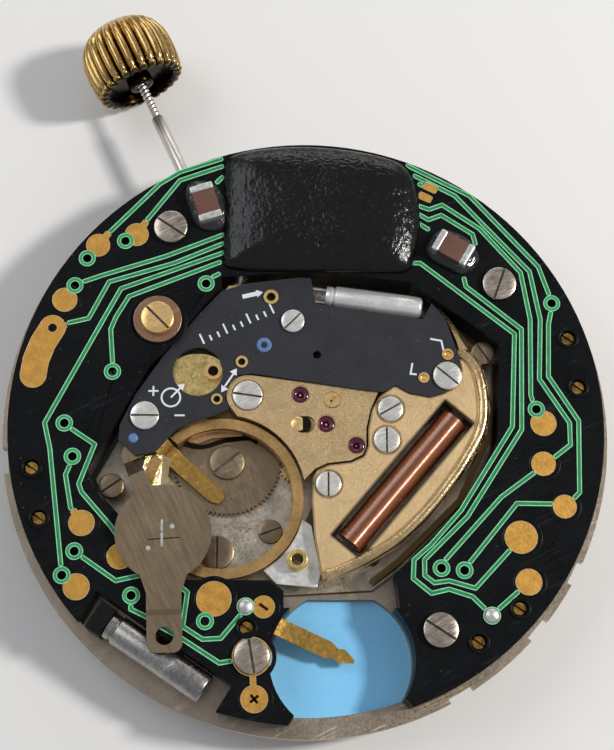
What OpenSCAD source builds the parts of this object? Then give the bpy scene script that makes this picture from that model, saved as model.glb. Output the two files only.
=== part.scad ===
// Analog and digital quartz watch movement, seen from its circuit side.
// Millimetres. +Z points to the circuit side, z = 0 is the lip that the dial sits in.
// The origin is on the axis of the hands and +X runs along the winding stem to the crown.
// Plans are drawn with the crown at layout_angle and turned onto +X by layout().

/* [Base ring] */
// Diameter of the flange that rests on the case
flange_d = 30; // [29.8:0.1:32]
// Diameter of the base ring above and below the flange
body_d = 29.2; // [29.1:0.1:29.4]
// Height of the flange's lower face
flange_z = 1.7; // [1.4:0.1:1.8]
// Height of the base ring's upper face
base_top = 2.5; // [2.4:0.05:2.55]
// Diameter of the recess for the dial
dial_d = 27.4; // [26.5:0.1:28]
// Depth of the recess for the dial
dial_recess = 0.6; // [0.5:0.05:0.6]
// Radius of the holes for the dial feet
dial_foot_r = 0.35; // [0.25:0.05:0.4]

/* [Circuit board] */
// Diameter of the ring circuit board
board_d = 29; // [28.8:0.1:29.1]
// Height of the board's upper face
board_top = 4.4; // [4.35:0.05:4.5]
// Thickness of the board
board_t = 0.5; // [0.4:0.05:0.55]
// Width of a circuit track
track_w = 0.23; // [0.2:0.01:0.3]
// Thickness of the copper and solder mask of a track
track_t = 0.03; // [0.02:0.01:0.05]
// Radius of a via hole
via_r = 0.22; // [0.15:0.01:0.26]
// Outer radius of a via ring
via_ring_r = 0.42; // [0.38:0.02:0.46]
// Height of the chip's glob top
glob_h = 0.85; // [0.6:0.05:1]

/* [Cells] */
// Radius of the well for the digital part's cell
digital_well_r = 3.45; // [3.42:0.01:3.5]
// Height of the floor of the digital part's well
digital_floor = 2; // [1.9:0.05:2.1]
// Inner radius of the analog cell's battery ring
battery_ring_r = 3.45; // [3.42:0.01:3.5]
// Wall of the battery ring
battery_ring_wall = 0.5; // [0.4:0.05:0.52]
// Thickness of the contact blades
blade_t = 0.12; // [0.1:0.01:0.15]
// Width of the contact blades
blade_w = 0.85; // [0.7:0.05:0.95]

/* [Analog movement] */
// Height of the mainplate's upper face
plate_top = 2.2; // [2.1:0.05:2.25]
// Height of the bridges' lower face
bridge_low = 3.5; // [3.45:0.05:3.55]
// Height of the bridges' upper face
bridge_top = 4; // [3.95:0.01:4.02]
// Thickness of the analog circuit board
analog_board_t = 0.15; // [0.1:0.01:0.2]
// Outer diameter of the coil
coil_d = 1.5; // [1.3:0.05:1.55]
// Length of the coil winding
coil_l = 8.1; // [7.6:0.1:8.2]
// Width of the coil core
core_w = 0.7; // [0.5:0.05:0.8]
// Thickness of the coil core
core_t = 0.35; // [0.3:0.05:0.4]
// Thickness of the stator
stator_t = 0.3; // [0.2:0.05:0.3]

/* [Train] */
// Teeth of the rotor pinion
rotor_teeth = 10; // [8:1:12]
// Teeth of the intermediate wheel
intermediate_teeth = 60; // [54:1:64]
// Teeth of the intermediate pinion
intermediate_pinion_teeth = 10; // [9:1:12]
// Teeth of the second wheel
second_teeth = 50; // [44:1:54]
// Teeth of the second pinion
second_pinion_teeth = 12; // [11:1:14]
// Teeth of the third wheel
third_teeth = 48; // [44:1:52]
// Teeth of the third pinion
third_pinion_teeth = 15; // [14:1:18]
// Teeth of the centre wheel
centre_teeth = 45; // [40:1:50]
// Thickness of the train wheels
wheel_t = 0.15; // [0.1:0.01:0.15]

/* [Motion work] */
// Tooth module of the motion work
motion_module = 0.09; // [0.088:0.001:0.092]
// Teeth of the cannon pinion
cannon_teeth = 12; // [12:1:12]
// Teeth of the minute wheel
minute_teeth = 36; // [36:1:36]
// Teeth of the minute pinion
minute_pinion_teeth = 10; // [10:1:10]
// Teeth of the hour wheel
hour_teeth = 40; // [40:1:40]
// Teeth of the setting wheel in the battery well
setting_teeth = 72; // [72:1:72]
// Teeth of the pinion that drives the setting wheel
setting_pinion_teeth = 12; // [12:1:12]
// Pitch radius of the setting wheel
setting_r = 2.65; // [2.6:0.01:2.68]
// Outer radius of the cannon pinion's pipe
cannon_pipe_r = 0.4; // [0.38:0.01:0.42]
// Outer radius of the hour wheel's pipe
hour_pipe_r = 0.62; // [0.58:0.01:0.66]

/* [Stem and crown] */
// Height of the stem's axis
stem_z = 2.9; // [2.88:0.01:2.95]
// Diameter of the stem
stem_d = 0.64; // [0.5:0.02:0.66]
// Diameter of the thread that the crown screws on
thread_d = 0.5; // [0.4:0.02:0.56]
// Distance from the hands' axis to where the thread starts
thread_x = 18.3; // [17:0.1:18.8]
// Distance from the hands' axis to the crown's inner face
crown_x = 20.2; // [19.6:0.1:21]
// Largest diameter of the crown
crown_d = 4.9; // [4.4:0.1:5.2]
// Length of the crown
crown_l = 3.6; // [3.2:0.1:4.2]
// Number of flutes on the crown
crown_flutes = 26; // [20:1:32]

/* [Bridle] */
// Thickness of the battery bridle
bridle_t = 0.18; // [0.14:0.01:0.2]
// Radius of the bridle's disc
bridle_disc_r = 2.3; // [2.1:0.01:2.4]
// Radius of the bridle's pivot post
bridle_post_r = 0.28; // [0.25:0.01:0.3]
// Radius of the thread in the bush that holds the bridle closed
bush_hole_r = 0.28; // [0.22:0.01:0.3]

/* [Fits] */
// Radial running clearance of pivots and shafts
running_gap = 0.03; // [0.02:0.01:0.05]
// Clearance of pieces that are set in an opening
seat_gap = 0.05; // [0.03:0.01:0.08]

/* [Hidden] */
$fn = 64;
layout_angle = 115;
cut = 0.1;
stem_r = stem_d / 2;

// Stack heights
board_low = board_top - board_t;
floor_low = dial_recess;
floor_top = 1.7;
flange_t = base_top - flange_z;
analog_board_top = bridge_top + analog_board_t;

// Plan positions in the layout, on the circuit side
pcb_screws = [[-6.8, 9.95], [9.55, 7.1], [6.3, -10.05]];
pcb_screw_slots = [-34, 70, -33];
pad_screw = [-2.6, -11.3];
clamp_screw = [-7.35, 5.15];
dial_feet = [[11.6, -4.6], [-11.4, 5.6]];
circuit_pins = [[-13.25, -2.3], [-12.8, -4.75], [12.9, 4.35], [13.3, 1.85], [10.1, -9], [8.1, -10.6],
    [-2.85, -9.95]];
digital_well = [1.67, -11.4];
battery_well = [-4.1, -3.6];
setting_axis = [-3.9, -1.6];
bridle_pivot = [-8.2, -0.9];
bridle_disc = [-6.84, -5.5];
bridle_hole = [-6.68, -10.37];
bush = [-0.45, -6.65];
holding_screws = [[-9.5, -2.95], [8.75, 3.75]];
well_screws = [[-4.35, -6.05], [-1.75, -5.0]];
board_screws = [[-7.9, 0.35], [-0.7, 5.2], [6.9, 2.45]];
board_screw_slots = [0, 45, -40];
bridge_screws = [[-2.9, 1.45], [1.05, -2.95], [4.1, 0.8], [3.9, -0.75]];
bridge_screw_rs = [0.74, 0.62, 0.62, 0.64];
bridge_screw_slots = [-8, 90, 30, 90];
view_hole = [-5.35, 2.6];
view_hole_r = 1.22;
coil_middle = [4.68, -2.66];
coil_angle = 50;
coil_z = 3.36;
foot_reach = 4.95;
coil_feet = [coil_middle + polar(foot_reach, coil_angle), coil_middle - polar(foot_reach, coil_angle)];

// Axes of the train
rotor_axis = [2.42, -1.02];
intermediate_axis = [0.95, 0.04];
second_axis = [1.24, 1.24];
third_axis = [-0.32, 1.51];
centre_axis = [0, 0];
jewel_axes = [rotor_axis, intermediate_axis, third_axis];
jewel_r = 0.42;
pivot_r = 0.06;

function polar(r, a) = [r * cos(a), r * sin(a)];
function arc(c, r, a, b, n = 12) = [for (i = [0:n]) c + polar(r, a + (b - a) * i / n)];
function unit(v) = v / norm(v);
function left_of(v) = [-v[1], v[0]];
function angle_to(a, b) = atan2(b[1] - a[1], b[0] - a[0]);
function reversed(p) = [for (i = [len(p) - 1:-1:0]) p[i]];
corner_signs = [[1, 1], [-1, 1], [-1, -1], [1, -1]];
function rounded_outline(l, w, r, n = 6) = [
    for (i = [0:3])
        let (k = corner_signs[i])
        for (p = arc([k[0] * (l / 2 - r), k[1] * (w / 2 - r)], r, i * 90, i * 90 + 90, n))
            p
];
function turned(p, a) = [p[0] * cos(a) - p[1] * sin(a), p[0] * sin(a) + p[1] * cos(a)];

// One side of a mitred band along a route
function band_side(p, w, side) = [
    for (i = [0:len(p) - 1])
        let (
            a = i > 0 ? unit(p[i] - p[i - 1]) : unit(p[1] - p[0]),
            b = i < len(p) - 1 ? unit(p[i + 1] - p[i]) : a,
            m = unit(left_of(a) + left_of(b))
        )
        p[i] + side * m * w / 2 / (m * left_of(a))
];
function band_outline(p, w) = concat(band_side(p, w, 1), reversed(band_side(p, w, -1)));

// Teeth of a wheel, with one tooth centred on the phase angle
function gear_outline(teeth, r, add, ded, phase) = [
    for (i = [0:teeth - 1], k = [[-0.27, -ded], [-0.1, add], [0.1, add], [0.27, -ded]])
        polar(r + k[1], phase + (i + k[0]) * 360 / teeth)
];

module layout() rotate([0, 0, -layout_angle]) children();
module plate_at(z, h, points) translate([0, 0, z]) linear_extrude(h) polygon(points);
module disc_at(c, z, h, r) translate([c[0], c[1], z]) cylinder(h = h, r = r);
module band_at(z, h, route, w) plate_at(z, h, band_outline(route, w));

// A strip bent in its thickness: path points are distance along the strip and height
module bent_strip(start, angle, path, t, w)
    translate([start[0], start[1], 0])
        rotate([0, 0, angle])
            translate([0, w / 2, 0])
                rotate([90, 0, 0])
                    linear_extrude(w)
                        polygon(band_outline(path, t));

// A slotted screw whose head starts at height z
module slotted_screw(c, z, head_r, head_h, shank_r, shank_low, slot) {
    slot_w = head_r * 0.22;
    difference() {
        union() {
            disc_at(c, z, head_h, head_r);
            disc_at(c, shank_low, z - shank_low, shank_r);
        }
        translate([c[0], c[1], z + head_h * 0.45])
            rotate([0, 0, slot])
                translate([-head_r * 2, -slot_w / 2, 0])
                    cube([head_r * 4, slot_w, head_h]);
    }
}

module gear(c, z, h, teeth, r, phase) {
    tooth = 2 * r / teeth;
    translate([c[0], c[1], z])
        linear_extrude(h)
            polygon(gear_outline(teeth, r, tooth * 0.85, tooth * 1.1, phase));
}

// Opening of the board, the spacer and the base ring round the analog movement
opening_outline = [[-4.25, 7.4], [-4.25, 7], [-7.1, 3.4], [-7.7, 2.85], [-10.55, -2.4], [-10.2, -3.4],
    [-9.05, -4.6], [-5.8, -7.7], [-1.75, -7.7], [-1.05, -8.25], [3.25, -8], [4.65, -7], [7.85, -3.8],
    [9.25, -0.8], [9.5, 4], [8.55, 4.75], [5.65, 6.8], [5.2, 7.2], [2.4, 7.55], [-0.35, 7.7]];
// Gap in the board between the movement's opening and the digital cell's well
well_mouth = [[-1.1, -8], [4.2, -7.2], [4.4, -9], [-1.1, -9]];
// Blunt tips of the board where its rim meets the digital cell's well
blunt_tips = [[[-0.95, -15], [-0.85, -14.4], [-0.65, -14.1], [-0.55, -13.9], [0.5, -13.6], [1, -15]],
    [[3.5, -15], [3.8, -13.5], [4.35, -13.15], [4.7, -13.3], [4.95, -13.6], [5.05, -15]]];
// Mainplate, a seat gap inside the opening
mainplate_outline = [[-4.1, 7.25], [-4.1, 6.9], [-6.9, 3.3], [-7.55, 2.75], [-10.35, -2.4], [-10, -3.3],
    [-8.9, -4.45], [-5.7, -7.55], [-1.7, -7.55], [-1, -8.1], [3.2, -7.85], [4.55, -6.85], [7.7, -3.7],
    [9.1, -0.75], [9.35, 3.9], [8.45, 4.6], [5.55, 6.65], [5.15, 7.05], [2.4, 7.4], [-0.35, 7.55]];

// Liquid crystal glass under the six o'clock side, and its connectors
lcd_angle = 205;
lcd_w = 4.9;
lcd_l = 15;
lcd_t = 0.68;
lcd_middle = 8.25;
lcd_low = 0.92;
lcd_window_w = 3.4;
lcd_window_l = 12;
connector_w = 0.9;
connector_l = 3;
connector_out = 6.6;

module on_lcd() rotate([0, 0, lcd_angle]) translate([lcd_middle, 0, 0]) children();
module lcd_box(z, h, w, l) on_lcd() translate([-w / 2, -l / 2, z]) cube([w, l, h]);
module connector_slots(z, h, gap)
    for (s = [-1, 1])
        on_lcd()
            translate([-connector_l / 2 - gap, s * connector_out - connector_w / 2 - gap, z])
                cube([connector_l + 2 * gap, connector_w + 2 * gap, h]);

// Base ring
motion_bore_r = 5.4;
pin_r = 0.3;
pin_low = 2;
pcb_shank_r = 0.35;
pcb_shank_low = 1.9;
well_rim = 0.6;
flange_notches = [-28, -41, -60, 186];
notch_w = 1.3;
notch_depth = 0.25;

module digital_well_cut(z, h)
    intersection() {
        disc_at(digital_well, z, h, digital_well_r);
        translate([0, 0, z]) cylinder(h = h, d = body_d - 2 * well_rim);
        translate([-10, -20, z]) cube([20, 20 + digital_flat_y, h]);
    }
digital_flat_y = -8.35;

module base_ring()
    color([0.72, 0.69, 0.63]) layout() difference() {
        union() {
            cylinder(h = base_top, d = body_d, $fn = 128);
            translate([0, 0, flange_z]) cylinder(h = flange_t, d = flange_d, $fn = 128);
        }
        translate([0, 0, -cut]) cylinder(h = dial_recess + cut, d = dial_d, $fn = 128);
        cylinder(h = floor_top + cut, r = motion_bore_r);
        plate_at(floor_top, base_top, opening_outline);
        lcd_box(lcd_low - 0.02, base_top, lcd_w + 2 * seat_gap, lcd_l + 2 * seat_gap);
        lcd_box(0, base_top, lcd_window_w, lcd_window_l);
        digital_well_cut(digital_floor, base_top);
        for (c = concat(pcb_screws, [pad_screw, clamp_screw]))
            disc_at(c, pcb_shank_low, base_top, pcb_shank_r);
        for (c = circuit_pins)
            disc_at(c, pin_low, base_top, pin_r);
        for (c = dial_feet)
            disc_at(c, 0, base_top + 1, dial_foot_r);
        for (a = flange_notches)
            rotate([0, 0, a])
                translate([flange_d / 2 - notch_depth, -notch_w / 2, flange_z - cut])
                    cube([2, notch_w, flange_t + 2 * cut]);
    }

// Spacer frame between the base ring and the board
spacer_inset = 0.1;
can_r = 0.73;
digital_can = [[-9.35, -9.75], [-4.75, -12.79]];
digital_can_z = 3.7;
can_window = [[-11, -10.1], [-9.95, -8.22], [-3.5, -12.63], [-4.9, -14.9], [-9, -12.8]];
// Block of the spacer that holds the crystal by its glass end
can_block_l = 0.8;
can_block_top = 4.3;
lead_r = 0.1;
lead_gap = 0.02;
lead_pitch = 0.66;

// Places along the digital crystal's axis, from its glass end
module at_digital_can()
    translate([digital_can[0][0], digital_can[0][1], 0])
        rotate([0, 0, angle_to(digital_can[0], digital_can[1])])
            children();

module can_block()
    difference() {
        at_digital_can()
            translate([-can_block_l - seat_gap, -can_r, base_top])
                cube([can_block_l, 2 * can_r, can_block_top - base_top]);
        at_digital_can()
            for (s = [-1, 1])
                translate([-can_block_l - 2 * seat_gap, s * lead_pitch / 2, digital_can_z])
                    rotate([0, 90, 0])
                        cylinder(h = can_block_l + 3 * seat_gap, r = lead_r + lead_gap);
    }

module spacer_frame()
    color([0.09, 0.09, 0.1]) layout() {
        spacer_ring();
        can_block();
    }

module spacer_ring()
    difference() {
        translate([0, 0, base_top])
            cylinder(h = board_low - base_top, d = board_d - 2 * spacer_inset, $fn = 128);
        plate_at(base_top - cut, 3, opening_outline);
        for (p = concat([well_mouth], blunt_tips))
            plate_at(base_top - cut, 3, p);
        disc_at(digital_well, base_top - cut, 3, digital_well_r);
        plate_at(base_top - cut, 3, can_window);
        connector_slots(base_top - cut, 3, seat_gap);
        rotate([0, 0, layout_angle])
            translate([6, 0, stem_z])
                rotate([0, 90, 0])
                    cylinder(h = 10, r = stem_r + running_gap);
        for (c = concat(pcb_screws, [pad_screw, clamp_screw]))
            disc_at(c, base_top - cut, 3, pcb_shank_r + seat_gap);
        for (c = circuit_pins)
            disc_at(c, base_top - cut, 3, pin_r + seat_gap);
        for (a = side_contact_angles)
            side_leaf(a, base_top - cut, 3, side_leaf_t + side_leaf_in);
        translate([digital_blade_start[0], digital_blade_start[1], digital_blade_path[2][1] - blade_t])
            rotate([0, 0, digital_blade_angle])
                translate([-seat_gap, -blade_w / 2 - seat_gap, 0])
                    cube([digital_blade_slot_l, blade_w + 2 * seat_gap, 1]);
    }

// Gold leaves at the rim that the case's pushers press
side_contact_angles = [-63, 82, 148];
side_leaf_half = 6.5;
side_leaf_t = 0.1;
side_leaf_in = 0.3;
side_leaf_r = board_d / 2 - spacer_inset;

module side_leaf(a, z, h, t)
    intersection() {
        difference() {
            translate([0, 0, z]) cylinder(h = h, r = side_leaf_r + 0.05, $fn = 128);
            translate([0, 0, z - cut]) cylinder(h = h + 2 * cut, r = side_leaf_r - t, $fn = 128);
        }
        plate_at(z, h, [[0, 0], polar(20, a - side_leaf_half), polar(20, a + side_leaf_half)]);
    }

module side_contacts()
    color([0.85, 0.65, 0.25]) layout()
        for (a = side_contact_angles)
            union() {
                side_leaf(a, base_top, board_low - base_top, side_leaf_t);
                intersection() {
                    side_leaf(a, base_top, 0.3, side_leaf_t + side_leaf_in);
                    rotate([0, 0, a]) translate([10, -0.4, 0]) cube([5, 0.8, 5]);
                }
            }

// Ring circuit board
pin_hole_r = 0.38;
vias = [[-5, 7.05], [-9.5, 2.5], [-11.75, -0.1], [-11.3, -1.75], [-11.05, -6.35], [-8.3, -8.45],
    [12.15, 6.15], [6.4, -7.1], [7.5, -7.2], [-4.8, -9.65], [-10.92, 8.32], [-9.05, 9.25],
    [-11.48, 6.9], [11.2, 0.72], [-11.6, -7.5]];
filled_vias = [[8.75, -9.35], [-2.9, -8.95]];

module ring_pcb()
    color([0.05, 0.06, 0.06]) layout() difference() {
        translate([0, 0, board_low]) cylinder(h = board_t, d = board_d, $fn = 128);
        plate_at(board_low - cut, 1, opening_outline);
        for (p = concat([well_mouth], blunt_tips))
            plate_at(board_low - cut, 1, p);
        disc_at(digital_well, board_low - cut, 1, digital_well_r);
        plate_at(board_low - cut, 1, can_window);
        for (c = concat(pcb_screws, [pad_screw, clamp_screw]))
            disc_at(c, board_low - cut, 1, pcb_shank_r + seat_gap);
        for (c = circuit_pins)
            disc_at(c, board_low - cut, 1, pin_hole_r);
        for (c = vias)
            disc_at(c, board_low - cut, 1, via_r);
    }

// Routes of the tracks, chosen by hand along the board
tracks = [
    [[-4.25, 13.7], [-6.4, 12.95], [-7.4, 12.3], [-9.9, 9.65]],
    [[-4.2, 13.3], [-6.4, 12.5], [-8.05, 10.3]],
    [[-4.2, 12.75], [-4.6, 12.35]],
    [[-3.75, 9.8], [-7.05, 8.45], [-10.1, 7.45], [-11.2, 7.05]],
    [[-3.85, 9.3], [-6.6, 8.1], [-9.8, 7.1], [-10.75, 5.2], [-11.8, 4.95]],
    [[-4.1, 8.7], [-9.2, 6.75], [-10, 5.2], [-12.7, -0.1], [-12.4, -1.35], [-11.65, -7.1]],
    [[-4.25, 8.2], [-8.8, 6.35], [-9.4, 5.3], [-9.65, 4.65], [-9.5, 2.9]],
    [[-4.75, 7.35], [-4.3, 7.6]],
    [[-11.45, -0.35], [-10.25, -1.15], [-10.95, -3.1], [-10.8, -3.5], [-9.35, -5.15], [-8.65, -6.15]],
    [[-11.4, -2.15], [-11.6, -2.65], [-11.3, -4.25], [-11.05, -4.6]],
    [[-10.75, -6.57], [-9.05, -7.75], [-8.15, -7.55], [-7.45, -7.4]],
    [[-8.3, -8.85], [-8.3, -9.1], [-7.65, -9.4], [-6.9, -9.9], [-5.9, -10.45], [-4.1, -11.6], [-3.4, -11.48]],
    [[-6, -8], [-5.65, -8.3], [-5.85, -9.9], [-4.9, -10.5], [-4.05, -10.45], [-3.1, -9.3]],
    [[5, 13.45], [8.2, 11.8], [11.55, 8.05], [12.05, 6.55]],
    [[12.1, 5.75], [11.95, 5.05], [11.85, 2.4], [13.25, 0.15], [13.15, -3.4], [12.78, -3.78]],
    [[5.35, 12.9], [7.45, 11.8], [11.1, 7.8], [11.55, 5.3], [11.4, 2.25], [12.8, 0.05], [12.8, -1.05],
        [11.9, -1.75]],
    [[5.6, 12.45], [5.9, 12.3]],
    [[5.6, 11.25], [6.15, 11.05], [6.8, 11.3], [8.65, 10.05], [10.65, 7.75], [11.05, 5.3], [10.95, 1.45],
        [11.05, 1.05]],
    [[5.6, 10.8], [6.1, 10.5], [6.75, 10.75], [8.3, 9.75], [8.45, 9.15]],
    [[5.6, 10.3], [6.15, 9.95]],
    [[5.25, 8.2], [5.65, 8.2], [10.25, 4.55], [10, -0.15], [7.4, -4.3], [5.9, -6], [5.1, -6.7], [5.05, -7.6],
        [5.9, -8.3], [6.75, -8.1], [7.85, -8.45], [8.5, -9.1]],
    [[9, -9.1], [10.15, -8.1]],
    [[7.8, 7.5], [7.9, 7], [10.6, 4.8], [10.45, -0.3], [7.7, -4.6], [5.6, -6.7], [5.6, -7.45], [6.05, -7.8],
        [6.75, -7.7], [8, -8.05], [9.8, -6.1]],
    [[11.1, -2.35], [9.35, -3.65], [6.55, -6.75]],
    [[11.9, -3.97], [10.1, -3.95], [7.7, -6.9]]
];

module circuit_tracks()
    color([0.22, 0.62, 0.42]) layout() difference() {
        for (route = tracks)
            band_at(board_top, track_t, route, track_w);
        for (c = concat(vias, filled_vias))
            disc_at(c, board_top - cut, 1, via_ring_r);
        pad_plan(board_top - cut, 1);
        plate_at(board_top - cut, 1, glob_outline);
    }

module via_rings()
    color([0.55, 0.85, 0.68]) layout() difference() {
        union() {
            for (c = vias)
                disc_at(c, board_top, track_t, via_ring_r);
            for (c = filled_vias)
                disc_at(c, board_top, 2 * track_t, via_ring_r);
        }
        for (c = vias)
            disc_at(c, board_top - cut, 1, via_r);
    }

// Gold pads: place and radius
pads = [[-10.4, 9, 0.6], [-8.5, 9.58, 0.6], [-11.95, 6.15, 0.62], [-10.75, -5, 0.63], [-10.9, -8.05, 0.64],
    [-8.9, -6.6, 0.62], [-4.4, -8.6, 0.84], [-2.05, -8.97, 0.54], [-2.46, -13.26, 0.65], [11.52, 0.02, 0.64],
    [11.45, -2, 0.6], [12.4, -4.1, 0.58], [10.25, -5.6, 0.8], [10.55, -7.75, 0.64]];
pad_screw_pad_r = 0.92;
pad_link_w = 0.3;
// Necks that join a pad, by its number, to its via or its track
pad_neck_w = 0.35;
pad_necks = [[0, [-10.92, 8.32]], [0, [-9.87, 9.68]], [1, [-9.05, 9.25]], [1, [-8.03, 10.3]],
    [2, [-11.48, 6.9]], [3, [-11.19, -4.36]], [4, [-11.6, -7.5]], [6, [-4.8, -9.65]],
    [9, [11.2, 0.72]]];
crescent_pad = [[-12.5, 4.7], [-12.95, 3.9], [-13.25, 3.05], [-13.35, 2.3]];
crescent_w = 1.3;
jumper_pads = [[6.23, 12.2], [5.95, 11.7]];
jumper_w = 0.75;
jumper_h = 0.4;
jumper_corner = 0.12;
pad_t = 0.05;

module pad_plan(z, h) {
    for (p = pads)
        disc_at(p, z, h, p[2]);
    disc_at(pad_screw, z, h, pad_screw_pad_r);
    band_at(z, h, [pad_screw, pads[8]], pad_link_w);
    band_at(z, h, [crescent_pad[0], [-11.8, 4.83]], pad_link_w);
    for (n = pad_necks)
        band_at(z, h, [[pads[n[0]][0], pads[n[0]][1]], n[1]], pad_neck_w);
    band_at(z, h, crescent_pad, crescent_w);
    for (c = [crescent_pad[0], crescent_pad[3]])
        disc_at(c, z, h, crescent_w / 2);
    for (c = jumper_pads)
        translate([c[0], c[1], z])
            rotate([0, 0, -25])
                linear_extrude(h)
                    polygon(rounded_outline(jumper_w, jumper_h, jumper_corner));
}

module contact_pads()
    color([0.83, 0.62, 0.26]) layout() difference() {
        pad_plan(board_top, pad_t);
        disc_at(pad_screw, board_top - cut, 1, pcb_shank_r + seat_gap);
        for (c = concat(vias, filled_vias))
            disc_at(c, board_top - cut, 1, via_ring_r);
        disc_at(crescent_pad[0], board_top - cut, 1, via_r);
        plate_at(board_top - cut, 1, glob_outline);
    }

// Glob top over the chip: a rounded mound on the board
glob_outline = [[-4.15, 7.7], [-4.2, 13.6], [-3.85, 13.9], [-2.4, 14.25], [0, 14.42], [2.4, 14.2],
    [4.7, 13.65], [5.2, 13.2], [5.6, 12.3], [5.7, 9.9], [5.3, 8.15], [4.75, 7.6]];
glob_middle = [0.8, 10.9];

module glob_layer(z, inset, h)
    translate([0, 0, z])
        linear_extrude(h)
            polygon([for (p = glob_outline) p + (glob_middle - p) * inset]);

module chip_glob_top()
    color([0.02, 0.02, 0.02]) layout() {
        hull() {
            glob_layer(board_top, 0, 0.25);
            glob_layer(board_top + glob_h * 0.6, 0.06, 0.05);
            glob_layer(board_top + glob_h * 0.85, 0.17, 0.05);
            glob_layer(board_top + glob_h - 0.02, 0.38, 0.02);
        }
    }

// Chip capacitors: place and turn
capacitors = [[-5.06, 11.12, -72], [7.25, 8.8, -30]];
capacitor_l = 1.9;
capacitor_w = 1.15;
capacitor_h = 0.75;
terminal_l = 0.36;
epoxy_l = 2.5;
epoxy_w = 1.5;
epoxy_h = 0.4;

module at_capacitors()
    for (c = capacitors)
        translate([c[0], c[1], board_top])
            rotate([0, 0, c[2]])
                children();

module capacitor_bodies()
    color([0.36, 0.2, 0.18]) layout() at_capacitors()
        translate([terminal_l - capacitor_l / 2, -capacitor_w / 2, 0])
            cube([capacitor_l - 2 * terminal_l, capacitor_w, capacitor_h]);

module capacitor_terminals()
    color([0.8, 0.79, 0.76]) layout() at_capacitors()
        for (s = [0, 1])
            translate([s ? capacitor_l / 2 - terminal_l : -capacitor_l / 2, -capacitor_w / 2, 0])
                cube([terminal_l, capacitor_w, capacitor_h]);

epoxy_corner = 0.4;
module capacitor_epoxy()
    color([0.2, 0.2, 0.2]) layout() difference() {
        at_capacitors()
            difference() {
                linear_extrude(epoxy_h) polygon(rounded_outline(epoxy_l, epoxy_w, epoxy_corner));
                translate([-capacitor_l / 2, -capacitor_w / 2, -cut])
                    cube([capacitor_l, capacitor_w, 1]);
            }
        plate_at(board_top - cut, 1, glob_outline);
    }

// Crystal cans, lying along the line between two points
module lying_can(ends, z, r) {
    translate([ends[0][0], ends[0][1], z])
        rotate([0, 90, angle_to(ends[0], ends[1])])
            cylinder(h = norm(ends[1] - ends[0]), r = r);
}

module can_leads(ends, z, l)
    translate([ends[0][0], ends[0][1], z])
        rotate([0, -90, angle_to(ends[0], ends[1])])
            for (s = [-1, 1])
                translate([0, s * lead_pitch / 2, 0]) cylinder(h = l, r = lead_r);

module digital_crystal()
    color([0.7, 0.7, 0.7]) layout() lying_can(digital_can, digital_can_z, can_r);

module crystal_leads()
    color([0.85, 0.84, 0.8]) layout() {
        can_leads(digital_can, digital_can_z, can_block_l + 2 * seat_gap);
        can_leads(analog_can, analog_can_z, analog_lead_l);
    }

analog_can = [[0.95, 6.68], [5.75, 6.07]];
analog_can_r = 0.59;
analog_can_z = 3.55;
analog_lead_l = 0.7;
module analog_crystal()
    color([0.72, 0.71, 0.69]) layout() lying_can(analog_can, analog_can_z, analog_can_r);

// Digital cell: film on the floor of the well and contact blade
film_t = 0.04;
film_gap = 0.04;
module battery_insulator_film()
    color([0.45, 0.7, 0.95]) layout()
        intersection() {
            disc_at(digital_well, digital_floor, film_t, digital_well_r - film_gap);
            translate([0, 0, digital_floor]) cylinder(h = 1, d = body_d - 2 * well_rim - 2 * film_gap);
            translate([-10, -20, digital_floor]) cube([20, 20 + digital_flat_y - film_gap, 1]);
        }

digital_blade_start = [-2.6, -9.2];
digital_blade_angle = -24;
digital_blade_path = [[0, 3.82], [0.75, 3.82], [1.25, 3.3], [5.35, 2.75]];
digital_blade_slot_l = 2.6;

module digital_battery_contact()
    color([0.86, 0.68, 0.3]) layout()
        bent_strip(digital_blade_start, digital_blade_angle, digital_blade_path, blade_t, blade_w);

// Screws, pins and washer of the board
pcb_head_r = 0.84;
pcb_head_h = 0.3;

module pcb_screws()
    color([0.75, 0.74, 0.72]) layout() {
        for (i = [0:len(pcb_screws) - 1])
            slotted_screw(pcb_screws[i], board_top, pcb_head_r, pcb_head_h, pcb_shank_r, pcb_shank_low,
                pcb_screw_slots[i]);
        slotted_screw(pad_screw, board_top + pad_t, pcb_head_r, pcb_head_h, pcb_shank_r, pcb_shank_low, 100);
    }

washer_r = 1.2;
washer_t = 0.22;
clamp_head_r = 0.81;

module clamp_washer()
    color([0.72, 0.6, 0.55]) layout() difference() {
        disc_at(clamp_screw, board_top, washer_t, washer_r);
        disc_at(clamp_screw, board_top - cut, 1, pcb_shank_r + seat_gap);
    }

module case_clamp_screw()
    color([0.83, 0.62, 0.3]) layout()
        slotted_screw(clamp_screw, board_top + washer_t, clamp_head_r, 0.32, pcb_shank_r, pcb_shank_low, -45);

// The circuit pins are split at their tops
pin_top = board_top - 0.12;
pin_split_w = 0.09;
pin_split_h = 0.5;
pin_split_angle = -35;
module circuit_pins()
    color([0.8, 0.6, 0.3]) layout()
        difference() {
            for (c = circuit_pins)
                disc_at(c, pin_low, pin_top - pin_low, pin_r);
            for (c = circuit_pins)
                translate([c[0], c[1], pin_top - pin_split_h])
                    rotate([0, 0, pin_split_angle])
                        translate([-pin_r * 2, -pin_split_w / 2, 0])
                            cube([pin_r * 4, pin_split_w, 1]);
        }

// Liquid crystal glass and its rubber strip connectors
module lcd_glass()
    color([0.6, 0.65, 0.6]) layout() lcd_box(lcd_low, lcd_t, lcd_w, lcd_l);

module lcd_connectors()
    color([0.55, 0.55, 0.5]) layout()
        connector_slots(lcd_low + lcd_t, board_low - lcd_low - lcd_t, 0);

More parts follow.
